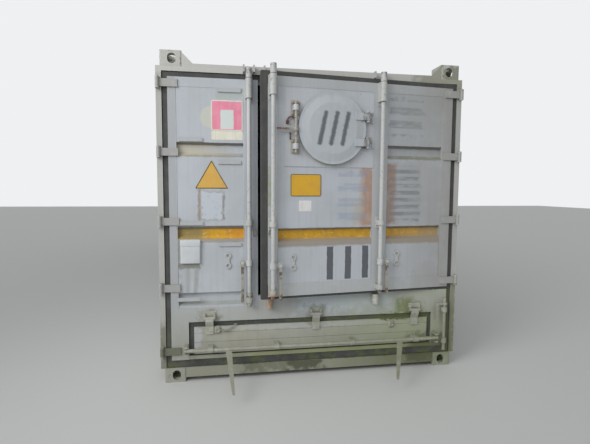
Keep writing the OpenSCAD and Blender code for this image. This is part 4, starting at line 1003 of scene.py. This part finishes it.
def tie_ring(x, z):
    """An oval ring under its pad, with its middle at x and z."""
    ring = start("primitive_torus_add", at(x, leaf_face - 9, z), major_radius=15 * mm,
                 minor_radius=4 * mm, major_segments=28, minor_segments=10, rotation=upright)
    bpy.ops.object.transform_apply(location=False, rotation=True, scale=False)
    stretch((0.95, 1, 1.75))
    bpy.ops.object.shade_smooth()
    pad = block(x - 9, x + 9, leaf_face - 13, leaf_face, z + 20, z + 34)
    bevel_all(3)
    return [ring, pad]


settle(tie_ring(-505, 1199), "left_tie_ring", handle_paint, "left_leaf")
settle(tie_ring(-407, 1214), "right_tie_ring", handle_paint, "right_leaf", True)

# %% [markdown]
# The lock of the round hatch has a hook that holds its lever and a pin with a wider head. The hook
# is a rod bent round: a small circle is spun about the centre of the bend, which is how a swept
# bend is made without a curve. The pin's head is its top face, widened and extruded.

# %% Hook and pin at the round hatch
collar_face = leaf_face - 3
hook_x, hook_z, hook_r, hook_rod = -243, 2064, 32, 6
hook = start("primitive_circle_add", at(hook_x - hook_r, collar_face - 14, hook_z), vertices=12,
             radius=hook_rod * mm, fill_type="NGON")
bpy.ops.object.mode_set(mode="EDIT")
bpy.ops.mesh.select_all(action="SELECT")
bpy.ops.mesh.spin(steps=18, angle=math.radians(-205), center=at(hook_x, collar_face - 14, hook_z),
                  axis=(0, 1, 0))
bpy.ops.mesh.select_all(action="SELECT")
bpy.ops.mesh.remove_doubles(threshold=0.0001)
bpy.ops.mesh.normals_make_consistent(inside=False)
bpy.ops.object.mode_set(mode="OBJECT")
bpy.ops.object.shade_smooth_by_angle(angle=math.radians(40))
foot_part = block(hook_x - hook_r - 11, hook_x - hook_r + 11, collar_face - 22, collar_face,
                  hook_z - 22, hook_z + 2)
bevel_all(3)
pin = start("primitive_cylinder_add", at(hook_x - 9, collar_face - 6, 1948), vertices=12,
            radius=5 * mm, depth=44 * mm)
bpy.ops.object.mode_set(mode="EDIT")
pick(pin, "FACE", lambda f: f.normal.z > 0.9)
bpy.ops.mesh.extrude_region_move(TRANSFORM_OT_translate={"value": (0, 0, 0)})
bpy.ops.transform.resize(value=(1.7, 1.7, 1))
bpy.ops.mesh.extrude_region_move(TRANSFORM_OT_translate={"value": (0, 0, 5 * mm)})
bpy.ops.object.mode_set(mode="OBJECT")
settle([hook, foot_part, pin], "hatch_hook_and_pin", rusty_steel, "right_leaf", True)

# %% [markdown]
# The hatch lock's bar turns in two bearings, one above and one below the middle of the hatch. Each
# bearing stands on a plate with rounded corners and four bolts.

# %% Bearing plates of the hatch lock
lock_x, bearing_rise, bearing_half_h, bearing_t = -213, 145, 56, 6
bearing_face = collar_face - bearing_t
parts = []
for z in (hatch_z - bearing_rise, hatch_z + bearing_rise):
    parts.append(rounded_block(lock_x - 34, lock_x + 38, bearing_face, collar_face,
                               z - bearing_half_h, z + bearing_half_h, radius=14))
    parts += [bolt_at(lock_x + dx, bearing_face, z + dz) for dx in (-21, 25) for dz in (-40, 40)]
settle(parts, "hatch_bearing_plates", gear_enamel("rusty bearing plates", "#A79F92", 2.2), "right_leaf",
       True)

# %% [markdown]
# Lugs on the flap take a tie: a plate with an eye stands on the face. From the left one a short
# length of chain runs to the right and sags a little in the middle. Each link is a torus stretched
# in edit mode, and every second one is turned by a quarter.

# %% Flap lugs with a short chain


def flap_lug(x, z):
    """A raised plate with an eye, with its middle at x and z."""
    base = block(x - 26, x + 26, leaf_face - 6, leaf_face, z - 34, z + 34)
    bpy.ops.object.mode_set(mode="EDIT")
    round_corners(base, 18)
    pick(base, "FACE", lambda f: f.normal.y < -0.9)
    bpy.ops.mesh.inset(thickness=12 * mm)
    bpy.ops.transform.translate(value=(0, -9 * mm, 0))
    bpy.ops.object.mode_set(mode="OBJECT")
    eye = start("primitive_torus_add", at(x, leaf_face - 15, z - 2), major_radius=16 * mm,
                minor_radius=5 * mm, major_segments=24, minor_segments=10, rotation=upright)
    bpy.ops.object.shade_smooth()
    return [base, eye]


parts = flap_lug(-805, 418) + flap_lug(660, 401)
chain_from, chain_to, links, sag = at(-783, -22, 424), at(-655, -16, 470), 9, 0.030
for i in range(links):
    share = (i + 0.5) / links
    place = chain_from.lerp(chain_to, share) - Vector((0, 0, sag * 4 * share * (1 - share)))
    link = start("primitive_torus_add", place, major_radius=7.5 * mm, minor_radius=2.3 * mm,
                 major_segments=16, minor_segments=8, rotation=(math.radians(90 * (i % 2)), 0, 0))
    bpy.ops.object.transform_apply(location=False, rotation=True, scale=False)
    stretch((1.45, 1, 1))
    bpy.ops.object.shade_smooth()
    parts.append(link)
settle(parts, "flap_lugs_and_chain", handle_paint, "discharge_flap")

# %% [markdown]
# Where the pressed sheet meets a stile, the joint is closed with a thin bead. A long thin cylinder
# of six sides lies in each corner and is shaded smooth, so that it reads as a round bead.

# %% Beads along the stiles
bead_r, bead_top = 2.6, 2323
left_bead_xs, left_bead_low = (-1105, -591), 600
right_bead_xs, right_bead_low = (-346, 443, 569, 1074), 813


def bead(x, low):
    made = start("primitive_cylinder_add", at(x, sheet_face, (low + bead_top) / 2), vertices=6,
                 radius=bead_r * mm, depth=(bead_top - low) * mm)
    bpy.ops.object.shade_smooth()
    return made


settle([bead(x, left_bead_low) for x in left_bead_xs], "left_sheet_beads", leaf_enamel,
       "left_leaf")
settle([bead(x, right_bead_low) for x in right_bead_xs], "right_sheet_beads", leaf_enamel,
       "right_leaf", True)

# %% [markdown]
# Moss grows in cushions where water stands: along the top edge of the flap, on the foot and on the
# sill, thickest at the shaded right end. One flattened ball with few faces is copied many times
# with a fixed random seed, each copy turned and squashed.

# %% Moss cushions
moss_finish = Finish("moss", "#505C34", 0.95)
moss_finish.coat(moss_finish.clouds(9, 0.35, 0.65, detail=4), "#6C7848", strength=0.8)
moss_finish.coat(moss_finish.clouds(30, 0.50, 0.70, detail=4), "#6F6A48", strength=0.7)
moss_green = moss_finish.done()
cushion = start("primitive_ico_sphere_add", (0, 0, 0), subdivisions=2, radius=1)
stretch((1, 1, 0.55))
bpy.ops.object.shade_smooth()
draw = random.Random(7)


def moss_row(x0, x1, y0, y1, z, count, size):
    """Cushions in clumps along a ledge, in millimetres. The order of the draws fixes the look."""
    row = []
    centres = [draw.uniform(x0, x1) for _ in range(max(1, count // 9))]
    for _ in range(count):
        x = min(max(draw.gauss(draw.choice(centres), 22), x0), x1)
        made = twin(cushion)
        made.location = at(x, draw.uniform(y0, y1), z)
        made.rotation_euler = (0, 0, draw.uniform(0, 6.28))
        width = size * draw.uniform(0.45, 1.0) * mm
        made.scale = (width, width * draw.uniform(0.6, 1.0), width * draw.uniform(0.5, 1.0))
        row.append(made)
    return row


parts = moss_row(560, 985, -3, 6, 448, 170, 15) + moss_row(-100, 560, -2, 6, 448, 40, 8)
parts += moss_row(-980, -300, -2, 6, 448, 30, 6)
settle(parts, "moss_on_flap", moss_green, "discharge_flap")
parts = moss_row(560, 1020, 6, 12, 484, 130, 14) + moss_row(880, 1150, -4, 30, 686, 50, 11)
settle(parts, "moss_on_foot", moss_green, "left_leaf")
parts = moss_row(-1040, 1040, 0, 7, 118, 150, 6) + moss_row(300, 1040, 0, 7, 118, 110, 8)
settle(parts, "moss_on_sill", moss_green, "container")
bpy.data.objects.remove(cushion)
bpy.data.objects.remove(bolt)

# %% [markdown]
# The last cell only loads the json module. What is added here stays inside the container's
# outer size.

# %% End
import json
